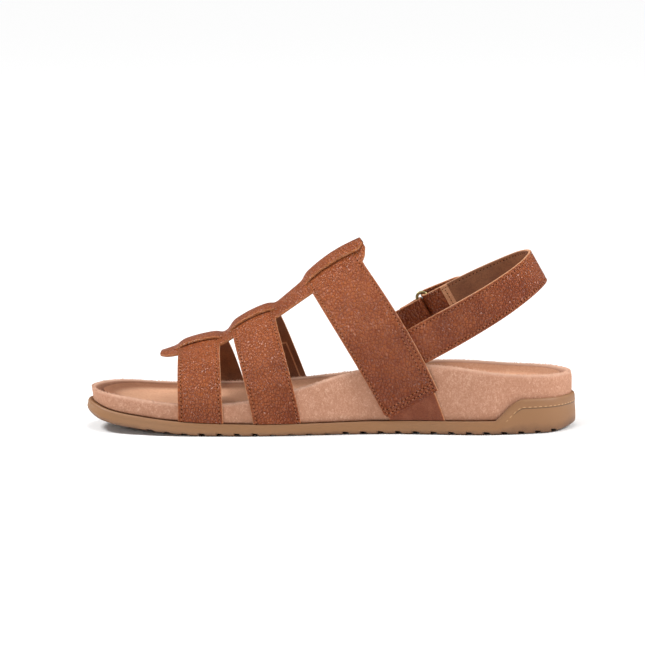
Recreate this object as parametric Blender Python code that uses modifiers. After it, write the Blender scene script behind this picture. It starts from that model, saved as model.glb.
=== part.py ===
# Strappy fisherman sandal for the right foot.
# Toe at -X, heel at +X, inner side of the foot at -Y, +Z up, standing on z = 0.
# Sizes are in millimetres and are scaled to metres when a mesh is made.
import math

import bmesh
import bpy
import numpy as np
from mathutils import Vector

MM = 0.001
OBJECT_NAME = "strappy_sandal"

# Fit
GAP = 0.3
SOLE_LENGTH = 262.0
SOLE_WIDTH = 91.0
FOOTBED_INSET = 3.2

# Outsole
SEAT_DEPTH = 0.4
CUP_START = 86.8
CUP_RUN = 15.2
CUP_LEAN = 0.72
CUP_TOP = 18.2
SIDE_POINTS = 38
CORE_INSET = 10.0
CORE_PULL = 0.72
TOE_CORE = 0.16
HEEL_CORE = 0.14
SEAT_MARGIN = 1.5
WALL_DRAFT = 0.15

# Outer side of the outsole, from its top edge to its tread: inset, share of the height, extra height
OUTSOLE_SIDE = (
    (1.4, 1.0, 0.0),
    (0.9, 1.0, -0.6),
    (0.4, 0.6, 0.0),
    (0.0, 0.36, 0.0),
    (0.2, 0.0, 1.4),
    (1.3, 0.0, 0.0),
)

# Tread grooves
GROOVE_PITCH = 9.3
GROOVE_WIDTH = 3.2
GROOVE_DEPTH = 2.0
GROOVE_SWING = 2.6
GROOVE_BENDS = 6
GROOVE_FIRST = -112.0
GROOVE_LAST = 122.0
PLAIN_WAIST = (-34.0, 2.0)

# Footbed and insole
INSOLE_THICKNESS = 1.2
FOOTBED_ROUND = 0.8
# Where the footbed's rim starts to lean out over the toe, and where it leans fully
TOE_LEAN = (-104.0, -127.0)
# Side and rim of the footbed, from its side to its inner lip:
# inset, drop below the rim, largest share, lean over the toe
FOOTBED_SIDE = (
    (0.1, 5.0, 0.55, 0.6),
    (1.0, 1.8, 0.22, 2.0),
    (3.0, 0.0, 0.0, 3.2),
    (5.4, 0.9, 0.15, 3.2),
)

# Upper
STRAP_THICKNESS = 1.9
SPINE_THICKNESS = 1.8
BASE_THICKNESS = 1.1
FUSE = 0.7
BASE_FUSE = 0.5
SLIT_HALF = 11.0
SLIT_OVERRUN = 2.2
STRAP_STEPS_ROUND = 26
STRAP_STEPS_ACROSS = 4
BASE_TOP = 31.7
BASE_FRONT = 0.05
BASE_REAR_FOOT = 0.87
BASE_REAR_TOP = 0.97
OVERLAY_REAR_END = 23.5
OVERLAY_RAMP = 12.0

# Heel strap, ring and tab
SLING_THICKNESS = 1.8
FOLD_LENGTH = 25.0
RING_WIRE = 0.9
RING_REACH = 3.1
RING_HALF_LENGTH = 11.3
RING_CORNER = 2.4
TAB_THICKNESS = 1.5
TAB_WIDTH = 17.6
TAB_RETURN = 11.0
TAB_RUN = 26.0
RIM_CLEARANCE = 1.0
# Where a band leaves the instep strap and where it is back in its plane
SLING_TUCK = (51.0, 72.0)
TAB_TUCK = (32.0, 40.0)
FASTENER_WIDTH = 15.0
FASTENER_START = 6.0
FASTENER_END = 22.0

# Outline of the outsole: place, x, y
OUTLINE = (
    ("toe_tip", -131.0, -12.0),
    ("big_toe_front", -123.0, -30.0),
    ("big_toe_side", -98.0, -41.5),
    ("ball_inner", -50.0, -44.8),
    ("arch_inner", 30.0, -34.5),
    ("heel_inner", 94.0, -35.0),
    ("heel_inner_back", 120.0, -24.5),
    ("heel_back", 131.0, -1.0),
    ("heel_outer_back", 120.0, 22.5),
    ("heel_outer", 94.0, 33.0),
    ("waist_outer", 38.0, 36.5),
    ("ball_outer", -30.0, 46.2),
    ("little_toe", -86.0, 40.0),
    ("toe_outer", -115.0, 25.5),
    ("toe_front", -127.5, 6.5),
)

# Bottom of the outsole along the shoe, with its toe spring and heel bevel: x, height
TREAD = (
    (-131.0, 9.4),
    (-124.0, 6.7),
    (-116.0, 4.9),
    (-98.0, 2.6),
    (-82.0, 1.0),
    (-66.0, 0.0),
    (-40.0, 0.0),
    (100.0, 0.0),
    (116.0, 0.0),
    (131.0, 2.2),
)

# Top edge of the outsole along the shoe: x, height
LEDGE = (
    (-131.0, 15.7),
    (-116.0, 11.7),
    (-98.0, 9.2),
    (-71.0, 6.9),
    (-44.0, 6.1),
    (28.0, 6.7),
    (131.0, 7.5),
)

# Footbed along the shoe: x, inner rim, outer rim, floor
FOOTBED = (
    (-131.0, 22.1, 22.3, 17.7),
    (-116.0, 20.4, 21.3, 16.1),
    (-98.0, 18.5, 19.5, 14.3),
    (-50.0, 17.3, 17.5, 12.7),
    (-19.0, 23.9, 19.1, 13.7),
    (10.0, 32.2, 23.2, 16.5),
    (52.0, 36.3, 30.1, 20.5),
    (97.0, 31.2, 29.5, 21.2),
    (131.0, 29.7, 29.7, 21.2),
)

# Hollow of the footbed from its edge to the middle: inset, pull to the centre line, share of the rise
HOLLOW = (
    (9.6, 0.0, 1.0),
    (CORE_INSET, 0.12, 0.66),
    (CORE_INSET, 0.36, 0.22),
    (CORE_INSET, CORE_PULL, 0.0),
)
HOLLOW_LIP = 1.7

# The last at each strap edge: inner foot x, crown x, outer foot x, crown y, crown z, roundness,
# and how far the edge bows to the rear on the inner and outer flank
TIP, TOE_FRONT, TOE_REAR, MID_FRONT, MID_REAR, INSTEP_FRONT, INSTEP_REAR, TAIL = range(8)
LAST = (
    (-86.0, -91.2, -78.0, -5.0, 38.3, 2.1, 0.0, 0.0),
    (-79.8, -81.0, -68.0, -5.0, 41.7, 2.1, 0.2, 0.0),
    (-56.4, -59.4, -46.5, -5.0, 47.1, 2.1, 0.4, 0.0),
    (-40.4, -52.6, -35.0, -5.0, 52.3, 2.0, 1.1, 0.0),
    (-15.6, -30.9, -10.2, -5.0, 63.3, 1.9, 1.1, -1.4),
    (29.8, -13.4, 22.0, -4.0, 78.1, 1.8, 1.0, 0.0),
    (66.0, 11.2, 55.0, -4.0, 95.8, 1.8, 3.8, 0.0),
    (71.5, 16.0, 60.0, -4.0, 99.5, 1.8, 3.8, 0.0),
)
# Extra height of the crown midway between two rows
DOME = {TOE_FRONT: 0.8, TOE_REAR: -0.6, MID_FRONT: 1.3, MID_REAR: -0.4, INSTEP_FRONT: 1.7}

# Half width of the centre strip along the last: place between LAST rows, half width
SPINE_WIDTH = (
    (0.0, 5.0),
    (0.15, 8.4),
    (0.5, 12.0),
    (1.0, 14.6),
    (2.0, 15.8),
    (3.0, 16.0),
    (4.5, 16.8),
    (5.2, 16.2),
    (6.2, 15.4),
    (6.8, 13.4),
    (7.0, 10.5),
)

# Plane of the heel strap: a point near the front on each side, and the back
SLING_NEAR = Vector((44.0, -31.0, 46.3))
SLING_BACK = Vector((110.4, -2.0, 85.9))
SLING_FAR = Vector((53.0, 29.0, 56.7))
# Route of the heel strap: place, x, y, shift along the plane's normal, width
SLING_ROUTE = (
    ("inner_end", 34.0, -29.5, -1.0, 20.0),
    ("inner_front", 44.0, -30.0, -1.0, 20.0),
    ("inner_middle", 68.0, -30.0, -0.6, 19.6),
    ("inner_rear", 91.0, -26.5, -0.1, 18.8),
    ("inner_corner", 105.0, -15.5, 0.0, 18.6),
    ("back", 110.0, -1.5, 0.0, 18.6),
    ("outer_corner", 105.5, 12.0, 0.0, 18.6),
    ("outer_rear", 92.0, 22.5, 0.0, 18.6),
    ("outer_middle", 74.0, 27.0, 0.2, 18.6),
    ("outer_front", 56.4, 28.5, 1.6, 18.6),
)

COLOURS = {
    "gum_rubber": ("#A57C58", 0.6, 0.0),
    "suede": ("#C48E72", 0.9, 0.0),
    "insole_cloth": ("#C9996B", 0.85, 0.0),
    "leather": ("#8F4F30", 0.5, 0.0),
    "lined_leather": ("#7A4A2E", 0.55, 0.0),
    "antique_brass": ("#96875F", 0.35, 1.0),
    "touch_tape": ("#3A2A20", 0.9, 0.0),
}


def column(table, index):
    """One column of a table."""
    return np.array([row[index] for row in table], float)


def along(table, index, place):
    """Smooth value of a table column at a place along its first column."""
    xs = column(table, 0)
    values = column(table, index)
    slopes = np.gradient(values, xs)
    place = min(max(place, xs[0]), xs[-1])
    k = min(int(np.searchsorted(xs, place, side="right")) - 1, len(xs) - 2)
    span = xs[k + 1] - xs[k]
    t = (place - xs[k]) / span
    rise = values[k + 1] - values[k]
    bend_in = slopes[k] * span - rise
    bend_out = rise - slopes[k + 1] * span
    return values[k] + t * rise + t * (1 - t) * (bend_in * (1 - t) + bend_out * t)


def smooth_step(low, high, value):
    t = min(max((value - low) / (high - low), 0.0), 1.0)
    return t * t * (3 - 2 * t)


def spline(points, steps, closed):
    """Smooth curve through the points, with tangents that follow their spacing."""
    pts = np.array(points, float)
    count = len(pts)
    spans = count if closed else count - 1
    result = []
    for i in range(spans):
        picks = [(i + k) % count if closed else min(max(i + k, 0), count - 1) for k in (-1, 0, 1, 2)]
        p0, p1, p2, p3 = (pts[j] for j in picks)
        span = np.linalg.norm(p2 - p1)
        before = max(np.linalg.norm(p1 - p0), 1e-6)
        after = max(np.linalg.norm(p3 - p2), 1e-6)
        leave = (p1 - p0) / before * span / (before + span) + (p2 - p1) / span * before / (before + span)
        arrive = (p2 - p1) / span * after / (after + span) + (p3 - p2) / after * span / (after + span)
        for t in np.arange(steps) / steps:
            a, b = 1 - t, t
            result.append(p1 * a * a * (1 + 2 * b) + p2 * b * b * (1 + 2 * a)
                          + leave * span * a * a * b - arrive * span * b * b * a)
    if not closed:
        result.append(pts[-1])
    return np.array(result)


def stretch(points, start, end, count):
    """Evenly spaced points of an open path between two lengths along it."""
    reach = np.concatenate(([0.0], np.cumsum(np.linalg.norm(np.diff(points, axis=0), axis=1))))
    stops = np.linspace(start, reach[-1] if end is None else end, count)
    return np.stack([np.interp(stops, reach, points[:, k]) for k in range(points.shape[1])], axis=1)


def by_length(points, count):
    """The same open path with evenly spaced points."""
    return stretch(points, 0.0, None, count)


def sole_outline():
    """Outline of the outsole from the toe tip round the inner side, with its inward normals."""
    curve = spline([row[1:] for row in OUTLINE], 40, True)
    low, high = curve.min(axis=0), curve.max(axis=0)
    curve = (curve - (low + high) / 2) * np.array((SOLE_LENGTH, SOLE_WIDTH)) / (high - low)
    curve = np.roll(curve, -int(np.argmin(curve[:, 0])), axis=0)
    back = int(np.argmax(curve[:, 0]))
    inner = by_length(curve[:back + 1], SIDE_POINTS + 1)
    outer = by_length(np.vstack((curve[back:], curve[:1])), SIDE_POINTS + 1)
    loop = np.vstack((inner[:-1], outer[:-1]))
    run = np.roll(loop, -1, axis=0) - np.roll(loop, 1, axis=0)
    run /= np.linalg.norm(run, axis=1)[:, None]
    return loop, np.stack((-run[:, 1], run[:, 0]), axis=1)


LOOP, INWARD = sole_outline()
LOOP_COUNT = len(LOOP)


def ring(inset, pull=0.0):
    """Outline moved inwards, then pulled towards the line midway between its two sides."""
    pts = LOOP + INWARD * inset
    if not pull:
        return pts
    partner = pts[(-np.arange(LOOP_COUNT)) % LOOP_COUNT]
    middle = (pts + partner) / 2
    length = np.ptp(pts[:, 0])
    tip = middle[0, 0] + length * TOE_CORE
    heel = middle[SIDE_POINTS, 0] - length * HEEL_CORE
    middle[:, 0] = np.clip(middle[:, 0], tip, heel)
    return pts + (middle - pts) * pull


def side_y(x, side, inset):
    """Y of the outline at x, moved inwards, on the inner (-1) or outer (+1) side."""
    pts = ring(inset)
    half = pts[:SIDE_POINTS + 1] if side < 0 else np.vstack((pts[SIDE_POINTS:], pts[:1]))[::-1]
    return float(np.interp(x, half[:, 0], half[:, 1]))


def bottom_z(x):
    return max(along(TREAD, 1, x), 0.0)


def ledge_z(x):
    return along(LEDGE, 1, x)


def edge_z(x):
    """Top of the outsole's edge: the ledge, rising into the heel cup."""
    share = min(max((x - CUP_START) / CUP_RUN, 0.0), 1.0)
    return ledge_z(x) + (CUP_TOP - ledge_z(x)) * smooth_step(0.0, 1.0, share ** CUP_LEAN)


def rim_z(x, y):
    """Top of the footbed's rim, blended from the inner to the outer side."""
    share = smooth_step(-SOLE_WIDTH / 4, SOLE_WIDTH / 4, y)
    return along(FOOTBED, 1, x) * (1 - share) + along(FOOTBED, 2, x) * share


def ring_at(inset, pull, height):
    """Ring of points whose height follows from x and y."""
    flat = ring(inset, pull)
    return np.array([(x, y, height(x, y)) for x, y in flat])


def new_object(name, verts, faces, colour, collection):
    """Mesh object in metres, with its faces turned outwards."""
    mesh = bpy.data.meshes.new(name)
    mesh.from_pydata([tuple(float(c) * MM for c in v) for v in verts], [], faces)
    mesh.update()
    obj = bpy.data.objects.new(name, mesh)
    collection.objects.link(obj)
    finish(obj, colour)
    return obj


def finish(obj, colour):
    """Shade smooth with sharp corners, and give the material."""
    obj.data.materials.clear()
    obj.data.materials.append(material(colour))
    if obj.type == "MESH":
        obj.data.shade_smooth()
        obj.data.set_sharp_from_angle(angle=math.radians(40))


def material(name):
    if name in bpy.data.materials:
        return bpy.data.materials[name]
    code, roughness, metallic = COLOURS[name]
    mat = bpy.data.materials.new(name)
    mat.use_nodes = True
    shader = mat.node_tree.nodes["Principled BSDF"]
    channels = [int(code[k:k + 2], 16) / 255 for k in (1, 3, 5)]
    linear = [c / 12.92 if c < 0.04045 else ((c + 0.055) / 1.055) ** 2.4 for c in channels]
    shader.inputs["Base Color"].default_value = (*linear, 1.0)
    shader.inputs["Roughness"].default_value = roughness
    shader.inputs["Metallic"].default_value = metallic
    return mat


def loft(name, rings, colour, collection):
    """Closed body through rings of the outline; the first and last are closed across the middle."""
    count = LOOP_COUNT
    verts = np.vstack(rings)
    faces = []
    for k in range(len(rings) - 1):
        for i in range(count):
            j = (i + 1) % count
            faces.append((k * count + i, k * count + j, (k + 1) * count + j, (k + 1) * count + i))
    for start in (0, (len(rings) - 1) * count):
        faces.append((start, start + 1, start + count - 1))
        for i in range(1, SIDE_POINTS - 1):
            faces.append((start + i, start + i + 1, start + count - i - 1, start + count - i))
        faces.append((start + SIDE_POINTS - 1, start + SIDE_POINTS, start + SIDE_POINTS + 1))
    obj = new_object(name, verts, faces, colour, collection)
    outward(obj)
    return obj


def outward(obj):
    bm = bmesh.new()
    bm.from_mesh(obj.data)
    bmesh.ops.recalc_face_normals(bm, faces=bm.faces)
    bm.to_mesh(obj.data)
    bm.free()


def sheet(name, grid, thickness, offset, colour, collection):
    """Open surface from rows of points, thickened with Solidify."""
    rows, cols = len(grid), len(grid[0])
    verts = [p for row in grid for p in row]
    faces = []
    for r in range(rows - 1):
        for c in range(cols - 1):
            a = r * cols + c
            faces.append((a, a + 1, a + cols + 1, a + cols))
    obj = new_object(name, verts, faces, colour, collection)
    thicken(obj, thickness, offset)
    return obj


def thicken(obj, thickness, offset):
    solid = obj.modifiers.new("wall", "SOLIDIFY")
    solid.thickness = thickness * MM
    solid.offset = offset
    solid.use_even_offset = True


def boolean(obj, other, operation):
    mod = obj.modifiers.new(other.name, "BOOLEAN")
    mod.operation = operation
    mod.object = other
    mod.solver = "EXACT"


def as_guide(obj):
    obj.hide_render = True
    obj.display_type = "WIRE"


# Outsole

def groove(x, guides):
    """Zigzag prism across the sole that follows the toe spring."""
    span = SOLE_WIDTH * 0.6
    ys = np.linspace(-span, span, GROOVE_BENDS + 1)
    xs = x + GROOVE_SWING / 2 * np.where(np.arange(GROOVE_BENDS + 1) % 2, 1.0, -1.0)
    front = np.stack((xs - GROOVE_WIDTH / 2, ys), axis=1)
    rear = np.stack((xs + GROOVE_WIDTH / 2, ys), axis=1)
    loop = np.vstack((front, rear[::-1]))
    low, high = -5.0, bottom_z(x) + GROOVE_DEPTH
    count = len(loop)
    verts = [(px, py, low) for px, py in loop] + [(px, py, high) for px, py in loop]
    faces = []
    for i in range(GROOVE_BENDS):
        quad = (i, i + 1, count - 2 - i, count - 1 - i)
        faces += [quad, tuple(v + count for v in quad)]
    faces += [(i, (i + 1) % count, count + (i + 1) % count, count + i) for i in range(count)]
    cutter = new_object("groove", verts, faces, "gum_rubber", guides)
    outward(cutter)
    as_guide(cutter)
    return cutter


def build_outsole(parts, guides):
    def seat(x, y):
        return ledge_z(x) - SEAT_DEPTH

    def side(share, extra):
        return lambda x, y: bottom_z(x) + share * (edge_z(x) - bottom_z(x)) + extra

    wall = FOOTBED_INSET - GAP
    rings = [
        ring_at(CORE_INSET, CORE_PULL, seat),
        ring_at(wall + SEAT_MARGIN, 0.0, seat),
        ring_at(wall, 0.0, seat),
        ring_at(wall - WALL_DRAFT, 0.0, side(1.0, 0.0)),
    ]
    rings += [ring_at(inset, 0.0, side(share, extra)) for inset, share, extra in OUTSOLE_SIDE]
    rings.append(ring_at(CORE_INSET, CORE_PULL, side(0.0, 0.0)))
    outsole = loft("outsole", rings, "gum_rubber", parts)
    for x in np.arange(GROOVE_FIRST, GROOVE_LAST, GROOVE_PITCH):
        if not PLAIN_WAIST[0] < x < PLAIN_WAIST[1]:
            boolean(outsole, groove(float(x), guides), "DIFFERENCE")


# Footbed and insole

def hollow_z(rise, depth):
    """Height of the footbed's hollow at a share of the rise from its floor to its lip."""
    def height(x, y):
        floor = along(FOOTBED, 3, x)
        return floor + rise * (rim_z(x, y) - HOLLOW_LIP - floor) - depth
    return height


def build_midsole(parts):
    def base(rise):
        return lambda x, y: ledge_z(x) - SEAT_DEPTH + GAP + rise

    def below_rim(drop, share):
        def height(x, y):
            tall = rim_z(x, y) - base(0.0)(x, y)
            return rim_z(x, y) - min(drop, share * tall)
        return height

    recess = INSOLE_THICKNESS + GAP
    rings = [
        ring_at(CORE_INSET, CORE_PULL, base(0.0)),
        ring_at(FOOTBED_INSET + FOOTBED_ROUND, 0.0, base(0.0)),
        ring_at(FOOTBED_INSET, 0.0, base(FOOTBED_ROUND)),
    ]
    for inset, drop, share, lean in FOOTBED_SIDE:
        side = ring_at(FOOTBED_INSET + inset, 0.0, below_rim(drop, share))
        side[:, 0] -= [lean * smooth_step(-TOE_LEAN[0], -TOE_LEAN[1], -x) for x in side[:, 0]]
        rings.append(side)
    edge_inset, edge_pull, edge_rise = HOLLOW[0]
    rings.append(ring_at(edge_inset - GAP, edge_pull, hollow_z(edge_rise, recess)))
    for inset, pull, rise in HOLLOW[1:]:
        rings.append(ring_at(inset, pull, hollow_z(rise, recess)))
    loft("midsole", rings, "suede", parts)


def build_insole(parts):
    top = [ring_at(inset, pull, hollow_z(rise, 0.0)) for inset, pull, rise in HOLLOW]
    under = [ring_at(inset, pull, hollow_z(rise, INSOLE_THICKNESS)) for inset, pull, rise in HOLLOW]
    loft("insole", top[::-1] + under, "insole_cloth", parts)


# The last, which the straps follow

def last_row(s):
    """Sizes of the last's section at place s between the rows of its table."""
    table = np.array(LAST, float)
    k = min(max(int(s), 0), len(LAST) - 2)
    t = s - k
    row = table[k] * (1 - t) + table[k + 1] * t
    row[4] += DOME.get(k, 0.0) * 4 * t * (1 - t)
    return row


def flank(row, side, z):
    """Point of a section's flank at height z: up the footbed's side, then over to the crown."""
    foot_x = row[0] if side < 0 else row[2]
    crown_x, crown_y, crown_z, roundness = row[1], row[3], row[4], row[5]
    foot = ledge_z(foot_x) + GAP
    bow = row[6] if side < 0 else row[7]
    rise = (z - foot) / (crown_z - foot)
    x = foot_x + (crown_x - foot_x) * rise + bow * 4 * rise * (1 - rise)
    wall = side_y(x, side, FOOTBED_INSET - GAP)
    shoulder = rim_z(foot_x, side * SOLE_WIDTH / 2)
    if z <= shoulder:
        return np.array((x, wall, z))
    up = min((z - shoulder) / (crown_z - shoulder), 1.0)
    across = (1 - up ** roundness) ** (1 / roundness)
    return np.array((x, crown_y + (wall - crown_y) * across, z))


def flank_curve(s, side):
    """A section's flank from its foot to the crown, as points and lengths from the crown."""
    row = last_row(s)
    foot_x = row[0] if side < 0 else row[2]
    foot = ledge_z(foot_x) + GAP
    turn = np.linspace(0.0, math.pi / 2, 60)
    heights = foot + (row[4] - foot) * np.sin(turn)
    points = np.array([flank(row, side, z) for z in heights])
    steps = np.linalg.norm(np.diff(points, axis=0), axis=1)
    length = np.concatenate((np.cumsum(steps[::-1])[::-1], [0.0]))
    return points, length


CURVES = {}


def last_point(s, d):
    """Point of the last at place s, at arc length d from its crown (inner side negative)."""
    side = -1 if d < 0 else 1
    key = (round(s, 6), side)
    if key not in CURVES:
        CURVES[key] = flank_curve(*key)
    points, length = CURVES[key]
    return np.array([np.interp(abs(d), length[::-1], points[::-1, k]) for k in range(3)])


def flank_length(s, side):
    last_point(s, side * 1e-3)
    return CURVES[(round(s, 6), side)][1][0]


def last_normal(s, d):
    """Outward direction of the last."""
    ds = 0.01 if s < len(LAST) - 1.02 else -0.01
    along_s = (last_point(s + ds, d) - last_point(s, d)) / ds
    around = last_point(s, d + 0.4) - last_point(s, d - 0.4)
    n = np.cross(along_s, around)
    return n / np.linalg.norm(n)


def flank_y(x, z, side):
    """Y of the last at a given x and height, near the instep."""
    spots = []
    for s in np.linspace(MID_REAR, TAIL, 31):
        row = last_row(float(s))
        spots.append(flank(row, side, z)[:2])
    spots = np.array(spots)
    return float(np.interp(x, spots[:, 0], spots[:, 1]))


# Upper

def strap_grid(front, inner_start=None, lift=None):
    """Grid of the strap between two rows of the last, from its inner foot to its outer foot."""
    shares = np.linspace(-1.0, 1.0, STRAP_STEPS_ROUND + 1)
    grid = []
    for share in shares:
        line = []
        for u in np.linspace(0.0, 1.0, STRAP_STEPS_ACROSS + 1):
            s = front + float(u)
            side = -1 if share < 0 else 1
            reach = flank_length(s, side)
            if side < 0 and inner_start:
                reach = inner_start(s, u)
            d = share * reach
            point = last_point(s, d)
            if lift:
                point = point + last_normal(s, d) * lift(point, side)
            line.append(point)
        grid.append(line)
    return grid


def up_the_wall(s, z):
    """Arc length from the crown of the point at height z on the inner flank."""
    points, length = flank_curve(s, -1)
    return float(np.interp(z, points[:, 2], length))


def overlay_start(s, u):
    """The instep strap's inner end is cut at a slant, from its foot up to its rear edge."""
    foot = ledge_z(last_row(s)[0]) + GAP
    return up_the_wall(s, foot + u * (OVERLAY_REAR_END - foot))


def overlay_lift(point, side):
    """The instep strap rises over the base piece at its inner end."""
    if side > 0:
        return 0.0
    return (BASE_THICKNESS - BASE_FUSE) * (1 - smooth_step(BASE_TOP, BASE_TOP + OVERLAY_RAMP, point[2]))


def base_grid():
    """Base piece under the instep strap's inner end, from the sole up to a hidden top edge."""
    grid = []
    steps = 5
    for k in range(steps + 1):
        share = k / steps
        line = []
        for u in np.linspace(BASE_FRONT, BASE_REAR_FOOT + (BASE_REAR_TOP - BASE_REAR_FOOT) * share, 5):
            s = INSTEP_FRONT + float(u)
            foot = ledge_z(last_row(s)[0]) + GAP
            line.append(last_point(s, -up_the_wall(s, foot + share * (BASE_TOP - foot))))
        grid.append(line)
    return grid


def spine_rows():
    """Places along the centre strip, each with a flag for rows inside a slit."""
    rows = [(float(TIP), False), (TIP + 0.15, False), (TIP + 0.45, False)]
    for front in (TOE_FRONT, MID_FRONT, INSTEP_FRONT):
        before = SLIT_OVERRUN / np.linalg.norm(last_point(front, 0) - last_point(front - 1, 0))
        after = SLIT_OVERRUN / np.linalg.norm(last_point(front + 2, 0) - last_point(front + 1, 0))
        rows.append((front - before, False))
        rows += [(front + k / 5, True) for k in range(6)]
        rows.append((front + 1 + after, False))
        if front == MID_FRONT:
            rows.append((MID_REAR + 0.5, False))
    rows += [(TAIL - 0.25, False), (float(TAIL), False)]
    return rows


def build_spine(collection):
    """Centre strip with slits: bridges over the straps, margins under them."""
    widths = np.array(SPINE_WIDTH)
    verts = []
    keys = {}

    def vertex(r, c, s, w, level, part):
        key = (r, c, part)
        if key not in keys:
            keys[key] = len(verts)
            verts.append(last_point(s, w) + last_normal(s, w) * level)
        return keys[key]

    over = STRAP_THICKNESS - FUSE
    under = FUSE - SPINE_THICKNESS
    ids = []
    for r, (s, in_slit) in enumerate(spine_rows()):
        half = float(np.interp(s, widths[:, 0], widths[:, 1]))
        slit = min(SLIT_HALF, half * 0.66)
        places = (-half, -slit, -slit * 0.5, 0.0, slit * 0.5, slit, half)
        bridge = [vertex(r, c, s, w, over if in_slit else 0.0, "bridge") for c, w in enumerate(places)
                  if 1 <= c <= 5]
        side_part = "margin" if in_slit else "bridge"
        level = under if in_slit else 0.0
        margin = {c: vertex(r, c, s, places[c], level, side_part) for c in (0, 1, 5, 6)}
        ids.append((bridge, margin))
    faces = []
    for r in range(len(ids) - 1):
        (near, near_side), (far, far_side) = ids[r], ids[r + 1]
        for c in range(4):
            faces.append((near[c], far[c], far[c + 1], near[c + 1]))
        for c in (0, 5):
            faces.append((near_side[c], far_side[c], far_side[c + 1], near_side[c + 1]))
    spine = new_object("upper", verts, faces, "leather", collection)
    thicken(spine, SPINE_THICKNESS, 1.0)
    return spine


def build_upper(parts, guides):
    upper = build_spine(parts)
    grids = {
        "toe_strap": strap_grid(TOE_FRONT),
        "middle_strap": strap_grid(MID_FRONT),
        "instep_strap": strap_grid(INSTEP_FRONT, overlay_start, overlay_lift),
    }
    for name, grid in grids.items():
        strap = sheet(name, grid, STRAP_THICKNESS, 1.0, "leather", guides)
        as_guide(strap)
        boolean(upper, strap, "UNION")
    base = sheet("base_piece", base_grid(), BASE_THICKNESS, 1.0, "leather", guides)
    as_guide(base)
    boolean(upper, base, "UNION")


# Heel strap, ring, tab and fastener, laid out in one tilted plane

SLING_NORMAL = np.array((SLING_BACK - SLING_NEAR).cross(SLING_FAR - SLING_NEAR).normalized())


def on_plane(x, y):
    near = np.array(SLING_NEAR)
    nx, ny, nz = SLING_NORMAL
    return np.array((x, y, near[2] - (nx * (x - near[0]) + ny * (y - near[1])) / nz))


def sling_route():
    """Middle line of the heel strap, from its inner end round the heel to the ring, and its widths."""
    plan = by_length(spline([row[1:] for row in SLING_ROUTE], 16, False), 45)
    middle = np.array([on_plane(x, y) + SLING_NORMAL * shift for x, y, shift, width in plan])
    return middle, plan[:, 3]


def outside_of(route):
    """Outward direction in the plane at each point of a route."""
    run = np.gradient(route, axis=0)
    out = np.cross(run, SLING_NORMAL)
    return out / np.linalg.norm(out, axis=1)[:, None]


def half_turn(centre, start, back, steps):
    """Points of a half circle round a centre, from start by way of the direction back."""
    arm = start - centre
    radius = np.linalg.norm(arm)
    way = back / np.linalg.norm(back) * radius
    turns = np.linspace(0.0, math.pi, steps + 1)
    return np.array([centre + arm * math.cos(a) + way * math.sin(a) for a in turns])


def ring_frame():
    """Rear bar's centre, direction to the rear and outward direction at the ring."""
    route, _ = sling_route()
    out = outside_of(route)[-1]
    rear = route[-2] - route[-1]
    rear /= np.linalg.norm(rear)
    bar = route[-1] + out * (RING_WIRE + GAP + SLING_THICKNESS / 2)
    return bar, rear, out


def ribbon(route, widths):
    """Grid of a band along a route, across the plane of the heel strap."""
    return [[p + SLING_NORMAL * width * k / 2 for k in (-1, 0, 1)] for p, width in zip(route, widths)]


def tuck_under(grid, side, depth, start, end):
    """Move a band inside the instep strap where it runs under it."""
    for line in grid:
        share = 1 - smooth_step(start, end, line[1][0])
        for k, p in enumerate(line):
            if share:
                z = max(p[2], rim_z(p[0], side * SOLE_WIDTH / 2) + RIM_CLEARANCE)
                target = flank_y(p[0], z, side) - side * depth
                line[k] = np.array((p[0], p[1] + (target - p[1]) * share, z))
    return grid


def build_heel_strap(parts):
    route, widths = sling_route()
    bar, rear, _ = ring_frame()
    turn = half_turn(bar, route[-1], -rear, 8)
    layer_step = 2 * (RING_WIRE + GAP + SLING_THICKNESS / 2)
    back_run = (route + outside_of(route) * layer_step)[::-1]
    fold = stretch(back_run, 0.0, FOLD_LENGTH, 10)
    path = np.vstack((route, turn[1:-1], fold))
    grid = ribbon(path, np.pad(widths, (0, len(path) - len(route)), mode="edge"))
    inner_half = len(route) // 2
    grid[:inner_half] = tuck_under(grid[:inner_half], -1, GAP + SLING_THICKNESS / 2, *SLING_TUCK)
    sheet("heel_strap", [line[::-1] for line in grid], SLING_THICKNESS, 0.0, "lined_leather", parts)


def build_ring(parts):
    bar, rear, _ = ring_frame()
    centre = bar - rear * RING_REACH
    curve = bpy.data.curves.new("ring", "CURVE")
    curve.dimensions = "3D"
    path = curve.splines.new("POLY")
    points = []
    for quarter in range(4):
        sx = (1, -1, -1, 1)[quarter]
        sy = (1, 1, -1, -1)[quarter]
        for k in range(5):
            a = math.pi / 2 * (quarter + k / 4)
            along_rear = sx * (RING_REACH - RING_CORNER) + RING_CORNER * math.cos(a)
            along_width = sy * (RING_HALF_LENGTH - RING_CORNER) + RING_CORNER * math.sin(a)
            points.append(centre + rear * along_rear + SLING_NORMAL * along_width)
    path.points.add(len(points) - 1)
    for spot, p in zip(path.points, points):
        spot.co = (*(float(c) * MM for c in p), 1.0)
    path.use_cyclic_u = True
    curve.bevel_depth = RING_WIRE * MM
    curve.bevel_resolution = 2
    obj = bpy.data.objects.new("ring", curve)
    parts.objects.link(obj)
    finish(obj, "antique_brass")


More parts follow.
